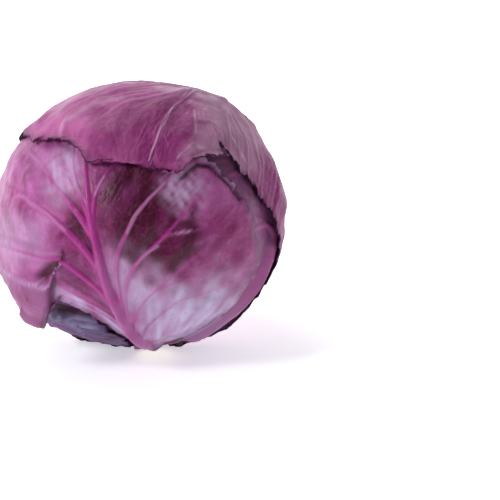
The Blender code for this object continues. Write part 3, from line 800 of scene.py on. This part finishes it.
# The left leaf: under the front leaf's flap at the lower left. It is the bluest leaf of
# the head, because the wax that bloomed on it was never rubbed off.
HOLLOW = [
    (40, -47), (46.4, -51), (51.4, -53.5), (59.8, -60), (66, -68), (78, -74), (88, -56),
    (66, -34), (42, -36),
]
TUCKS = (
    np.array([
        (30, -53), (38, -52.5), (46.4, -51.5), (51, -54.5), (50, -59), (46.5, -62.7),
        (40, -68), (33, -72.5),
    ], float),
    np.array([(51.3, -54.5), (59.8, -61.2), (65.2, -69.1), (68, -78), (66, -92)], float),
    np.array([(52, -66), (60, -76), (62, -92)], float),
)
TUCK_RISE = 2.6
TUCK_WIDTH = 1.8
TUCK_SHADE = np.array([(30, -58), (41, -57), (44, -62), (37, -69), (29, -75)], float)
HOLLOW_DEPTH = 1.6
PIT = (47.0, -68.0)
LOWER_EDGE = np.array([(14, -58), (12, -70), (14, -80), (26, -86), (48, -88), (56, -95)], float)


def near_line(x, y, line, reach):
    """1 on a line over the flat leaf, falling to 0 at about twice `reach`."""
    level = np.zeros(x.size)
    near, off, _ = near_curve(x.ravel(), y.ravel(), line, 2.5 * reach)
    level[near] = bump(off, reach)
    return level.reshape(x.shape)


def left_lift(x, y, d, to_edge):
    """Tucks where the leaf is drawn in under the front leaf, deepest in a hollow there."""
    tucks = sum(TUCK_RISE * near_line(x, y, line, TUCK_WIDTH) for line in TUCKS)
    pit = bump(np.hypot(x - PIT[0], y - PIT[1]), 4.0)
    return tucks - HOLLOW_DEPTH * inside(x, y, HOLLOW, 4.0) - HOLLOW_DEPTH * pit


def left_marks(x, y, to_edge):
    """Clouded wax all over, paler on the tucks, and painted shade, which also takes the wax away, in the
    hollow, the pit, under the tucks, along the lower edge and along the base.
    """
    cloud = 0.2 * waves(x, y, 30.0, 6)
    dark = 0.45 * np.clip(0.4 + waves(x, y, 24.0, 16), 0, 1)
    bloom = np.clip(0.62 + cloud - 0.3 * soft_step(0, 90, y), 0, 1)
    hollow = inside(x, y, HOLLOW, 3.0)
    ridge = np.clip(sum(near_line(x, y, line, TUCK_WIDTH) for line in TUCKS), 0, 1)
    hollow = np.clip(hollow * (1 - 0.6 * ridge), 0, 1)
    # Painted shade: the hollow, the lower edge, the low corner at the base, the pit and a line under the
    # tucks are darkened, and their wax painted away.
    low = soft_step(28.0, 14.0, x) * soft_step(-34.0, -48.0, y)
    shade = np.maximum.reduce([
        1.1 * hollow, 0.95 * near_line(x, y, LOWER_EDGE, 4.5), 0.9 * low,
        0.9 * bump(np.hypot(x - PIT[0], y - PIT[1]), 3.5), 0.85 * near_line(x, y, TUCK_SHADE, 2.4),
    ])
    return {"bloom": bloom * (1 - 0.95 * shade), "deep": np.maximum(dark, shade), "light": ridge}


midrib = [(-88, 12), (-90, 45), (-92, 80), (-94, 115), (-96, 146)]
right = [(-56, 13), (-36, 19), (-24, 30), (-28, 55), (-34, 85), (-42, 112), (-60, 136), (-96, 147)]
left = [(-118, 13), (-126, 26), (-136, 48), (-142, 76), (-140, 104), (-130, 126), (-96, 147)]
ribs = [(k / 8, 0.3 + k * 0.84, 0.2 + k * 0.72) for k in range(1, 8)]
leaf = Leaf(-92, 84, midrib, right, left, ribs, side_midrib, (1.6, 2.8), seed=14)
left_side = lay_leaf("wrapper_leaf_left", leaf, 170, 160, left_marks, left_lift, floor=2.8)
left_side.data.materials.append(leaf_skin(
    "glaucous leaf", (0.11, 0.045, 0.13), (0.42, 0.36, 0.54), (0.035, 0.006, 0.022),
    (0.22, 0.11, 0.26), (0.12, 0.108, 0.205), (0.05, 0.012, 0.05), 0.05,
))
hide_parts("leaf_left")

# The front leaf: the leaf with the strong magenta midrib that faces the viewer. It is
# pale with wax at its base, wine dark right of the midrib, and pinker on the left, where
# it has buckled away from the head into a flap with a pocket behind its crease.
# The outlines and lines below are places on the flat leaf, in millimetres.
BUCKLE = [
    (-22, 9), (-38, 12), (-60, 18), (-125, 20), (-125, -62), (-62, -60), (-53, -42),
    (-46.5, -31), (-39.5, -21), (-35, -11), (-31, -3), (-24, 6),
]
BUCKLE_RISE = 6.6
BUCKLE_TOP = (-50.0, -26.0)
BUCKLE_REACH = 40.0
FOLD = np.array([(-23, 5), (-29, -2), (-33, -10), (-38, -20), (-44, -30), (-52, -44)], float)
FOLD_LEAN = 4.5
CREASE = np.array([
    (-110, -2), (-90, -2.5), (-75.7, -2.8), (-62, -3.5), (-48.3, -5.7), (-38, -9.5),
    (-34.5, -8.5), (-32.3, -5.4), (-27.6, -0.2), (-23.8, 2.1),
], float)
LEDGE = [
    *CREASE.tolist(), (-24, -4), (-34, -20), (-46, -34), (-52, -48), (-80, -60), (-125, -40), (-125, -2),
]
LEDGE_RISE = 2.6
POCKET = np.array([(-26, 4.5), (-32, 1.5), (-38, -3.5)], float)
POCKET_DEPTH = 6.0
SECOND_TEAR = np.array([
    (56, 36), (60.9, 39.7), (67.1, 42), (75.7, 39.4), (80.9, 29.7), (86.3, 21.2), (90, 12),
], float)
TEAR_DEPTH = 1.4
TORN_CURL = [(60, 62), (78, 44), (95, 20), (104, 0), (112, 60)]
BASE_CURL = [(-4, -60), (-20, -18), (-36, -14), (-36, -30)]
FLAP_CURL = [(-44, -24), (-56, -22), (-74, -26), (-74, -46), (-46, -46)]
STALK_END = (2.0, -92.0)
STALK_END_RISE = 3.0
STALK_END_REACH = 9.0
CHEEK = (-78.0, 84.0)
CHEEK_RISE = 4.0
CHEEK_REACH = 28.0
LEAF_BASE = (2.0, -104.0)
# A line of painted shadow under a rib.
UNDER_RIB = np.array([(-2, -36), (-9, -25), (-17, -15), (-25, -6)], float)
TORN_SLIVER = [(69, 45), (82, 50), (102, 32), (96, 12), (88, 20), (82, 30), (77, 40)]
WEDGE = [(-20, 19), (-9, 8), (-3, -3), (0, 10), (-2, 24), (-8, 36), (-15, 46), (-14, 30)]
DARK_RIGHT = [
    (3, 30), (9, 42), (16, 56), (36, 58), (44, 42), (50, 22), (60, 12), (58, -6), (48, -17),
    (30, -15), (14, -7), (8, 6),
]
LOW_LEFT = [(-30, 3), (-14, 9), (-4, -8), (-6, -26), (-20, -12)]
# A grey patch of painted highlight on the right of the blade.
GREY_HIGHLIGHT_PATCH = [(44, 34), (54, 44), (66, 40), (68, 28), (62, 18), (52, 18), (46, 24)]
PALE_LEFT = [(-30, 30), (-70, 36), (-104, 22), (-104, 0), (-60, 3), (-34, 7)]
WAX_BASE = [
    (10, -4), (18, -14), (30, -25), (46, -32), (62, -30), (80, -70), (40, -95), (8, -90),
    (6, -50), (7, -20),
]
WAX_LEFT = [
    (-2, -44), (-12, -31), (-24, -16), (-31, -8), (-37, -18), (-26, -25), (-14, -34), (-4, -62),
]
PALE_RIGHT = [(62, 14), (66, 40), (80, 50), (100, 30), (90, 6)]
# A spot of painted highlight and how far it spreads.
HIGHLIGHT_SPOT = (-14.0, 56.0)
HIGHLIGHT_SPOT_REACH = 11.0
# A broken patch of painted highlight.
PAINTED_GLOSS = [(-28, 70), (-12, 76), (-4, 66), (-4, 46), (-10, 40), (-20, 36), (-30, 44), (-30, 58)]
# Painted highlights along the ribs: each line's flat points and how far it spreads.
GLINTS = (
    ([(-55.3, 46.4), (-45, 43), (-37, 38.3), (-26.3, 30.3), (-17.4, 20.7)], 0.9),
    ([(-51.7, 75.4), (-37.7, 65.7), (-28, 56)], 0.8),
    ([(19.2, 12.9), (26.2, 21.6), (34.6, 28.6), (46.1, 35.8)], 0.7),
    ([(4.6, 37.8), (7.8, 43.1), (11.3, 47.9)], 0.7),
    ([(19.7, -6.4), (26.5, -1.5), (34.1, 1.2)], 0.7),
    ([(46.1, 5.6), (53.3, 4.6)], 0.7),
    ([(-10.2, 66.8), (-7.1, 47), (-4.8, 41.3), (-2.1, 34.7)], 0.8),
)


def from_spot(x, y, spot):
    """Distance on the flat leaf from a spot."""
    return np.hypot(x - spot[0], y - spot[1])


def front_lift(x, y, d, to_edge):
    """The raised flap with its ledge and pocket, the curled margins, the tear and the cheek."""
    buckle = BUCKLE_RISE * inside(x, y, BUCKLE, 1.8)
    buckle += LEDGE_RISE * inside(x, y, LEDGE, 1.0)
    buckle -= POCKET_DEPTH * near_line(x, y, POCKET, 3.0) * soft_step(0.0, 2.0, buckle)
    buckle *= bump(from_spot(x, y, BUCKLE_TOP), BUCKLE_REACH)
    buckle += 0.8 * near_line(x, y, CREASE, 1.2)
    curl = 2.4 * bump(to_edge, 4.0) * inside(x, y, TORN_CURL, 6.0)
    curl += 2.0 * bump(to_edge, 4.0) * inside(x, y, BASE_CURL, 5.0)
    curl += 1.8 * bump(to_edge - 3.0, 2.5) * inside(x, y, FLAP_CURL, 4.0)
    stalk_end = STALK_END_RISE * bump(from_spot(x, y, STALK_END), STALK_END_REACH)
    tear = TEAR_DEPTH * near_line(x, y, SECOND_TEAR, 1.6)
    cheek = CHEEK_RISE * bump(from_spot(x, y, CHEEK), CHEEK_REACH)
    return np.maximum(buckle, -0.8) + curl + stalk_end - tear + cheek


def front_lean(x, y):
    """How far the raised flap leans over the blade beside it, which makes a real fold."""
    raised = inside(x, y, BUCKLE, 1.8) * near_line(x, y, FOLD, 9.0)
    return FOLD_LEAN * raised, 0.0 * y


def fan(x, y, seed):
    """Streaks that fan out from the leaf's base, between about -1 and 1."""
    turn = np.arctan2(x - LEAF_BASE[0], y - LEAF_BASE[1])
    far = from_spot(x, y, LEAF_BASE)
    thin = waves(turn * 90.0, far * 0.22, 7.0, seed)
    return thin * 0.6 + waves(turn * 60.0, far * 0.3, 16.0, seed + 1) * 0.6


def front_marks(x, y, to_edge):
    """Pale wax at the base, a dark right side, painted highlights in a grey patch, on the ribs, along the
    crease and in a spot, and painted shade in the pocket, by the fold, along the second tear and under a
    rib.
    """
    wander = 3.0 * waves(x, y, 14.0, 7)
    streak = fan(x, y, 41)
    wax_and_highlight = inside(x + wander, y + wander, WAX_BASE, 19.0)
    wax_and_highlight = np.clip(wax_and_highlight * (0.78 + 0.30 * streak), 0, 1)
    left_wax = 0.95 * inside(x, y, WAX_LEFT, 3.0) * np.clip(0.8 + 0.4 * streak, 0, 1)
    wax_and_highlight = np.maximum(wax_and_highlight, left_wax)
    # Painted highlight: a grey patch on the right, broken up in streaks.
    patch_breakup = 0.6 + 0.35 * waves(x, 1.6 * y, 6.0, 23) + 0.3 * waves(x, y, 14.0, 24)
    patch = 0.68 * inside(x, y + wander, GREY_HIGHLIGHT_PATCH, 9.0)
    wax_and_highlight = np.maximum(wax_and_highlight, patch * np.clip(patch_breakup, 0.2, 1))
    dark = inside(x + wander, y + wander, DARK_RIGHT, 9.0)
    dark = np.maximum(dark, 0.85 * inside(x, y, WEDGE, 2.5))
    dark = np.clip(dark * (1.0 + 0.35 * streak), 0, 1)
    # Painted shade: dark in the pocket, in the crevice beside the fold, on the ledge towards the fold, along
    # the second tear and under a rib, with the wax painted away beside the fold.
    flap = inside(x, y, BUCKLE, 1.8)
    shade_beside_fold = near_line(x, y, FOLD, 4.5)
    dark = np.maximum.reduce([
        dark, 1.15 * near_line(x, y, POCKET, 3.0), 0.9 * shade_beside_fold * (1 - flap),
        inside(x, y, LEDGE, 1.5) * (0.26 + 0.3 * near_line(x, y, FOLD, 8.0)),
        1.1 * near_line(x, y, SECOND_TEAR, 1.5), 0.7 * near_line(x, y, UNDER_RIB, 2.2),
        0.5 * inside(x, y, LOW_LEFT, 5.0),
    ])
    sliver = inside(x, y, TORN_SLIVER, 3.0) * (1 - near_line(x, y, SECOND_TEAR, 2.4))
    wax_and_highlight = np.maximum.reduce([wax_and_highlight * (1 - 0.8 * shade_beside_fold), 0.75 * sliver, 0.05 * inside(x, y, LEDGE, 2.0)])
    # Painted highlights: a pale line on the crease, a broken patch, and lines along the ribs.
    wax_and_highlight = np.maximum(wax_and_highlight, 0.55 * near_line(x, y, CREASE, 0.6))
    broken = 0.62 + 0.28 * waves(x, 0.5 * y, 5.0, 19) + 0.25 * waves(x + 0.5 * y, 0.3 * y, 9.0, 20)
    wax_and_highlight = np.maximum(wax_and_highlight, 0.60 * np.clip(broken, 0.2, 1) * inside(x, y, PAINTED_GLOSS, 9.0))
    for line, reach in GLINTS:
        wax_and_highlight = np.maximum(wax_and_highlight, 0.45 * near_line(x, y, np.array(line, float), reach))
    wax_and_highlight = np.maximum(wax_and_highlight, 0.24 * inside(x, y, PALE_LEFT, 8.0))
    blotch = np.clip(0.6 + 0.5 * waves(x, y, 18.0, 17), 0, 1)
    light = 0.6 * soft_step(-14.0, -34.0, x) * blotch
    light = np.maximum(light, 0.6 * inside(x, y, PALE_RIGHT, 9.0))
    # Painted highlights: a pale spot on the upper left and a pale band along the crease.
    light = np.maximum(light, 0.9 * bump(from_spot(x, y, HIGHLIGHT_SPOT), HIGHLIGHT_SPOT_REACH))
    light = np.maximum(light, 0.8 * near_line(x, y, CREASE, 2.2))
    return {"bloom": wax_and_highlight, "deep": np.clip(dark * (1 - 0.9 * wax_and_highlight), 0, 1), "light": light}


midrib = [
    (-9.2, 11.6), (-14.1, 34), (-15, 51), (-15.3, 63), (-15.1, 75), (-15.3, 90),
    (-15.4, 111), (-16.5, 124),
]
right = [
    (10, 13), (21, 21.5), (34, 30), (58, 44), (64, 62), (54, 81), (44.5, 94), (37, 104),
    (30, 113), (8, 121), (-17, 127),
]
left = [
    (-26, 14), (-19.5, 29), (-23.5, 40.1), (-28.8, 50.6), (-35.1, 57.1), (-42, 60.7),
    (-50.1, 56.8), (-57.9, 52.9), (-63.7, 53.7), (-69.0, 56.2), (-66.9, 59.5), (-63.2, 62.0),
    (-64.3, 64.9), (-66, 68.1), (-68.6, 72.7), (-74.9, 76), (-82.8, 81), (-94, 85),
    (-106, 92), (-108, 108), (-98, 126), (-74, 140), (-44, 137), (-17, 127),
]
ribs = [
    (0.08, 1.2, 0.9), (0.17, 2.4, 2.0), (0.25, 3.5, 2.9), (0.33, 5.0, 3.8), (0.41, 6.4, 4.9),
    (0.47, 7.2, 6.2), (0.52, 7.7, 8.6), (0.53, 7.8, 11.4), (0.58, 8.2, 14.2), (0.64, 8.55, 16.6),
    (0.70, 8.85, 18.0), (0.75, 9.05, 19.3), (0.80, 9.25, 20.6), (0.86, 9.5, 22.0),
]
midrib_size = (
    [(0, 4.2), (0.15, 4.8), (0.5, 3.6), (0.75, 1.8), (1, 0.4)],
    [(0, 4.6), (0.2, 4.2), (0.4, 3.6), (0.6, 3.2), (0.75, 2.4), (0.85, 1.8), (1, 1.2)],
)
drawn = [
    (2.0, 1.1, [(-1, 22), (-3, 32), (-6, 44), (-9, 58), (-11, 76)]),
    (2.2, 1.3, [(0, 20), (2, 30), (5, 39), (9, 45), (16, 53), (26, 62)]),
    (2.8, 1.5, [(-1, 14), (-7, 27), (-14, 38), (-24, 50), (-33, 61), (-46, 72), (-70, 90)]),
    (2.9, 1.9, [(-1, -6), (-8, 8), (-17, 20), (-26, 30), (-37, 38), (-48, 44), (-64, 50), (-96, 58)]),
    (1.0, 0.7, [(-19, 20), (-14, 23), (-9, 25)]),
    (2.4, 1.8, [
        (0, -33), (-2, -25), (-6, -17.5), (-14, -6.6), (-23, 3), (-34, 7), (-46, 10),
        (-64, 12), (-104, 12),
    ]),
    (1.4, 1.0, [(-1, -48), (-6, -36.6), (-13, -27.5), (-22, -17.5), (-29, -9.9), (-32, -2)]),
    (1.5, 1.2, [(-1, -58), (-5, -45), (-11, -35), (-19, -26), (-28, -20), (-35, -16)]),
    (2.2, 1.7, [
        (1, -40), (5, -22), (8, -6), (13, 5), (19, 12.9), (26, 21.6), (35, 28.6),
        (46, 35.8), (58, 48),
    ]),
    (2.2, 1.6, [
        (2, -52), (6, -30), (11, -16), (19.7, -6.4), (27, -1.5), (36, 4), (48, 12),
        (66, 26), (80, 38),
    ]),
    (1.4, 0.9, [(36, 4), (41, 6), (46, 5.6), (53, 4.6), (68, 4), (86, 14)]),
    (1.8, 1.4, [(2, -62), (7, -46), (13, -36), (20.4, -29), (32, -22), (42.7, -16.8), (64, -6), (90, 6)]),
    (1.3, 0.8, [(26, -26), (36, -24), (46, -24), (64, -22), (88, -14)]),
    (1.6, 1.2, [(2, -72), (8, -60), (13, -53), (20.7, -46.8), (30, -40.7), (40, -37), (62, -40), (82, -44)]),
    (1.2, 0.7, [(52, 13), (58, 16), (63, 21), (68, 28), (78, 36)]),
    (1.6, 0.9, [(3, -80), (9, -76), (20, -72), (32, -68), (48, -66)]),
    (4.6, 1.0, [(5.5, -40), (7.5, -48), (6.5, -57)]),
]
leaf = Leaf(-15, 72.6, midrib, right, left, ribs, midrib_size, (1.9, 2.8), 21, drawn, (99, 99))
front = lay_leaf("front_leaf", leaf, 230, 210, front_marks, front_lift, 1.6, lean=front_lean)
front.data.materials.append(leaf_skin(
    "front leaf", (0.25, 0.018, 0.135), (0.46, 0.13, 0.38), (0.048, 0.001, 0.015),
    (0.36, 0.034, 0.23), (0.54, 0.46, 0.67), (0.10, 0.03, 0.09), 0.22,
))
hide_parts("leaf_front")

# The crown leaf: the outermost. It comes up the back from the stem, covers the crown and
# ends in a torn edge over the front leaf, with a deeper tear on the right. A crease runs
# over the right shoulder, and underneath the head rests on it. A line of painted sheen, a
# pale highlight laid into the colour, is its places on the flat leaf, how far it spreads
# and how pale it is.
FOLD_START = direction(61, 71)
FOLD_END = direction(95, 41)
FOLD_RISE = 2.6
FOLD_WIDTH = 6.0
RESTING_SPOT = (2.0, 15.0)
CROWN_TOP = direction(-45, 78)
CROWN_TOP_RISE = 4.5
CROWN_TOP_REACH = 58.0
CURLED_TEAR = [(-90, 172), (-104, 146), (-138, 100), (-138, 70), (-118, 80), (-116, 120)]
SHEEN = (
    ([
        (-75.3, 115.9), (-78.9, 124.4), (-81.3, 131.9), (-82.2, 137.7), (-87.1, 151.4),
        (-88.9, 156),
    ], 0.8, 0.8),
    ([(-48, 94), (-63.8, 93.8), (-69.7, 86.8), (-79.4, 78.6), (-86.3, 69.2), (-92, 61)], 7.0, 0.7),
    ([(-80.1, 96.1), (-84.7, 90.9), (-88.5, 86), (-91.2, 80.1), (-93.1, 73.8)], 3.4, 0.45),
    ([(-96.3, 68.3), (-103.7, 69), (-111.3, 72.4), (-118.8, 70), (-129.4, 57.9), (-134, 50.6)], 1.3, 0.75),
    ([(-88, 100.5), (-95.8, 105.9), (-103.1, 109.9), (-109, 113.2)], 0.9, 0.5),
    ([(-112.7, 84.6), (-120.7, 87), (-126.1, 89)], 1.0, 0.5),
    ([(-112.6, 131.5), (-112.8, 125.4), (-112.8, 120.6), (-112.3, 116.8)], 1.0, 0.5),
    ([(-117.2, 111.8), (-121.9, 105), (-127.4, 96.6)], 2.0, 0.5),
    ([(36, 118), (24, 110), (8.5, 104), (-3.3, 99), (-20, 96)], 7.0, 0.45),
    ([(33.7, 144.3), (16, 139.8), (-2, 130.5), (-24, 124)], 3.6, 0.28),
)
DARK_CROWN = [
    (0, 185), (-4, 162), (-15, 150), (-30, 136), (-50, 120), (-80, 104), (-104, 112),
    (-112, 130), (-97, 162), (-60, 180),
]
GREY_SIDE = [
    (-114, 128), (-108, 108), (-92, 92), (-70, 84), (-70, 50), (-100, 30), (-150, 40),
    (-140, 100),
]


def crown_lift(x, y, d, to_edge):
    """The shoulder's crease, the spot that rests on the ground, the curled rim and the top."""
    off = np.degrees(np.arcsin(np.clip(np.abs(d @ unit(np.cross(FOLD_START, FOLD_END))), 0, 1)))
    along = angle_between(d, unit(FOLD_START + FOLD_END))
    crease = FOLD_RISE * np.exp(-off / FOLD_WIDTH) * bump(along, 24.0)
    deep, spread = RESTING_SPOT
    spot = deep * bump(angle_between(d, np.array([0.0, 0.0, -1.0])), spread)
    curled = inside(x, y, CURLED_TEAR, 5.0)
    rim = (0.8 + 1.6 * curled) * bump(to_edge, 3.2) * (y > 60)
    top = CROWN_TOP_RISE * bump(angle_between(d, CROWN_TOP), CROWN_TOP_REACH)
    top = top * soft_step(0.0, 30.0, to_edge)
    return crease + spot + rim + top


def crown_marks(x, y, to_edge):
    """A dark front, a greyer right side, wax towards the base, pale lines of painted sheen, and painted
    light that makes the blade paler towards its left.
    """
    wander = 4.0 * waves(x, y, 20.0, 9)
    dark = inside(x + wander, y + wander, DARK_CROWN, 9.0)
    wax_and_highlight = 0.42 * soft_step(-60.0, -150.0, y + 14 * waves(x, y, 40.0, 8))
    wax_and_highlight = np.maximum(wax_and_highlight, 0.30 * inside(x, y + wander, GREY_SIDE, 10.0))
    blotch = np.clip(0.55 + 0.6 * waves(x, y, 22.0, 18), 0, 1)
    # Painted highlights: pale bloom colour along each line of sheen, in streaks.
    for line, reach, much in SHEEN:
        streaky = np.clip(0.8 + 0.28 * waves(x, y, 13.0, 29), 0, 1)
        wax_and_highlight = np.maximum(wax_and_highlight, much * streaky * near_line(x, y, np.array(line, float), reach))
    # Painted light: the blade is paler towards the leaf's left, the side the light falls on, in blotches,
    # and not on the dark front.
    light = (0.10 + 0.90 * soft_step(-40.0, 40.0, x)) * blotch
    return {"bloom": wax_and_highlight, "deep": 0.34 * dark, "light": light * (1 - dark)}


midrib = [
    (160, 12.5), (155, 43), (147.4, 76.3), (135, 107.6), (109, 133), (79.2, 140.5),
    (50.5, 137.3), (28, 128), (17.2, 116.8), (10.7, 103.6),
]
right = [
    (-150, 13), (-124, 22), (-118, 42), (-124, 66), (-130, 88), (-130, 112), (-112, 132.5),
    (-89, 133.6), (-79, 135), (-52, 129.3), (-40, 128.5), (-29.4, 126), (-18, 118.5),
    (-13.5, 111), (-4, 110), (3.5, 108.2), (8.2, 104.8), (10.7, 102.9),
]
left = [
    (140, 14), (122, 22), (104, 33), (84, 58), (73, 74), (60, 88), (51, 98.5),
    (45.6, 107.5), (43, 110.5), (44.8, 104.8), (36.4, 104.9), (29.7, 105.2), (24.7, 103),
    (20.4, 100.3), (16.5, 102.2), (10.7, 102.9),
]
ribs = [
    (0.08, 1.4, 1.2), (0.18, 2.8, 2.4), (0.29, 4.1, 3.5), (0.40, 5.2, 4.6), (0.51, 6.4, 5.7),
    (0.61, 8.5, 7.0), (0.71, 9.7, 9.0), (0.81, 11.2, 10.6), (0.91, 13.2, 12.6),
]
midrib_size = (
    [(0, 3.0), (0.1, 4.2), (0.35, 3.2), (0.5, 1.6), (0.6, 0.9), (0.8, 0.6), (1, 0.3)],
    [(0, 6.5), (0.2, 6.0), (0.4, 4.2), (0.5, 3.0), (0.6, 1.8), (0.8, 1.2), (1, 0.9)],
)
drawn = [
    (2.4, 1.2, [(-40, 30), (-30, 62), (-18, 88), (-4, 108), (10, 119), (30, 121), (51, 120), (74, 104)]),
    (1.8, 0.9, [(-56, 66), (-36, 96), (-13, 115), (1, 120), (13, 128), (28, 131), (38, 140), (46, 150)]),
    (1.5, 0.7, [(-62, 84), (-42, 106), (-19, 122), (-5, 126), (5, 134), (12, 145), (18, 163)]),
    (2.2, 0.8, [(-68, 92), (-54, 112), (-37, 128), (-22, 143), (-8, 158), (-2, 176)]),
    (1.0, 0.6, [(-68, 86), (-74, 103), (-77, 118), (-80, 130), (-84, 144), (-87, 152), (-91, 160)]),
    (1.0, 0.6, [(-72, 88), (-92, 98), (-103, 106), (-109, 114), (-111, 124), (-114, 132), (-118, 138)]),
    (1.0, 0.6, [(-62, 60), (-83, 62), (-101, 74), (-114, 84), (-121, 89), (-128, 90)]),
    (1.3, 0.7, [(-62, 58), (-90, 66), (-110, 73), (-124, 74), (-134, 68), (-144, 58)]),
    (1.5, 0.8, [(-54, 36), (-84, 42), (-98, 36), (-112, 34), (-126, 30), (-144, 24)]),
    (1.0, 0.6, [(-100, 104), (-104, 92), (-110, 84), (-112, 76)]),
]
leaf = Leaf(165, 125, midrib, right, left, ribs, midrib_size, (1.4, 2.6), 31, drawn, (1, 6))
crown = lay_leaf("crown_leaf", leaf, 260, 180, crown_marks, crown_lift, puff=1.3)
crown.data.materials.append(leaf_skin(
    "crown leaf", (0.24, 0.018, 0.150), (0.46, 0.115, 0.32), (0.11, 0.006, 0.055),
    (0.38, 0.11, 0.29), (0.72, 0.55, 0.68), (0.035, 0.008, 0.03), 0.12,
))
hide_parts("leaf_crown")

# The floor: a wide sheet of white paper, which rises behind the head so that no horizon
# shows. It glows, a painted light of its own: a little near the head and more so away from it.
SHEET_SIZE = 8.0
SWEEP_STARTS = 1.2
SWEEP = 0.9
GLOW = ((0.12, (0.52, 0.52, 0.55, 1.0)), (0.6, (1.0, 1.0, 1.0, 1.0)))

bpy.ops.object.select_all(action="DESELECT")
bpy.ops.mesh.primitive_grid_add(x_subdivisions=8, y_subdivisions=60, size=SHEET_SIZE)
floor = bpy.context.active_object
floor.name = "floor"
for vertex in floor.data.vertices:
    vertex.co.z = SWEEP * max(0.0, vertex.co.y - SWEEP_STARTS) ** 2
floor.data.shade_smooth()
paper = bpy.data.materials.new("white paper")
paper.use_nodes = True
nodes, links = paper.node_tree.nodes, paper.node_tree.links
shader = nodes["Principled BSDF"]
shader.inputs["Base Color"].default_value = (0.93, 0.93, 0.94, 1.0)
shader.inputs["Roughness"].default_value = 0.9
shader.inputs["Emission Strength"].default_value = 1.0
spot = nodes.new("ShaderNodeTexCoord")
far = nodes.new("ShaderNodeVectorMath")
far.operation = "LENGTH"
glow = nodes.new("ShaderNodeValToRGB")
for stop, (at, colour) in zip(glow.color_ramp.elements, GLOW):
    stop.position = at
    stop.color = colour
links.new(spot.outputs["Object"], far.inputs[0])
links.new(far.outputs["Value"], glow.inputs["Fac"])
links.new(glow.outputs["Color"], shader.inputs["Emission Color"])
floor.data.materials.append(paper)

# The light: a soft box over the head, a key from the upper left and a weak fill from the
# right, in a room whose walls are pale above and behind the head and dim towards the viewer.
AIM = (0.0, 0.0, 0.08)
SOFT_BOXES = (
    ("over", (-0.35, 0.25, 1.25), 0.6, 5.2),
    ("key", (-0.95, -0.6, 0.8), 0.35, 9.5),
    ("window", (0.85, -0.75, 0.76), 0.25, 1.0),
)
TOWARDS_PALE_WALLS = (0.0, 0.45, 0.89)
WALLS_DIM = 0.04
WALLS_PALE = 0.24

world = bpy.data.worlds.new("pale room")
bpy.context.scene.world = world
world.use_nodes = True
nodes, links = world.node_tree.nodes, world.node_tree.links
room = nodes.new("ShaderNodeTexCoord")
height = nodes.new("ShaderNodeVectorMath")
height.operation = "DOT_PRODUCT"
height.inputs[1].default_value = TOWARDS_PALE_WALLS
walls = nodes.new("ShaderNodeMapRange")
walls.inputs["From Min"].default_value = 0.05
walls.inputs["From Max"].default_value = 0.75
walls.inputs["To Min"].default_value = WALLS_DIM
walls.inputs["To Max"].default_value = WALLS_PALE
links.new(room.outputs["Generated"], height.inputs[0])
links.new(height.outputs["Value"], walls.inputs["Value"])
links.new(walls.outputs["Result"], nodes["Background"].inputs["Strength"])
nodes["Background"].inputs["Color"].default_value = (1.0, 1.0, 1.0, 1.0)
for name, place, across, watts in SOFT_BOXES:
    light = bpy.data.lights.new(name, "AREA")
    light.size = across
    light.energy = watts
    lamp = bpy.data.objects.new(name, light)
    bpy.context.scene.collection.objects.link(lamp)
    lamp.location = place
    lamp.rotation_euler = (Vector(AIM) - Vector(place)).to_track_quat("-Z", "Y").to_euler()
bpy.context.scene.view_settings.view_transform = "Standard"

# The camera: 15 degrees above the level, a metre away, aimed beside the head so that the
# head stands left of the picture's middle, as in the photograph.
CAMERA_RISE = math.radians(15.0)
CAMERA_AWAY = 1.0
METRES_A_PIXEL = 0.0006
HEAD_PIXEL = (136, 216)
MIDDLE_PIXEL = 250

lens = bpy.data.cameras.new("camera")
lens.lens = 120.0
lens.sensor_width = 36.0
camera = bpy.data.objects.new("camera", lens)
bpy.context.scene.collection.objects.link(camera)
towards = Vector((0.0, -math.cos(CAMERA_RISE), math.sin(CAMERA_RISE)))
upward = Vector((0.0, math.sin(CAMERA_RISE), math.cos(CAMERA_RISE)))
head = Vector(MIDDLE * MM)
camera.location = head + towards * CAMERA_AWAY
target = head + Vector((1, 0, 0)) * METRES_A_PIXEL * (MIDDLE_PIXEL - HEAD_PIXEL[0])
target -= upward * METRES_A_PIXEL * (MIDDLE_PIXEL - HEAD_PIXEL[1])
camera.rotation_euler = (target - camera.location).to_track_quat("-Z", "Y").to_euler()
bpy.context.scene.camera = camera
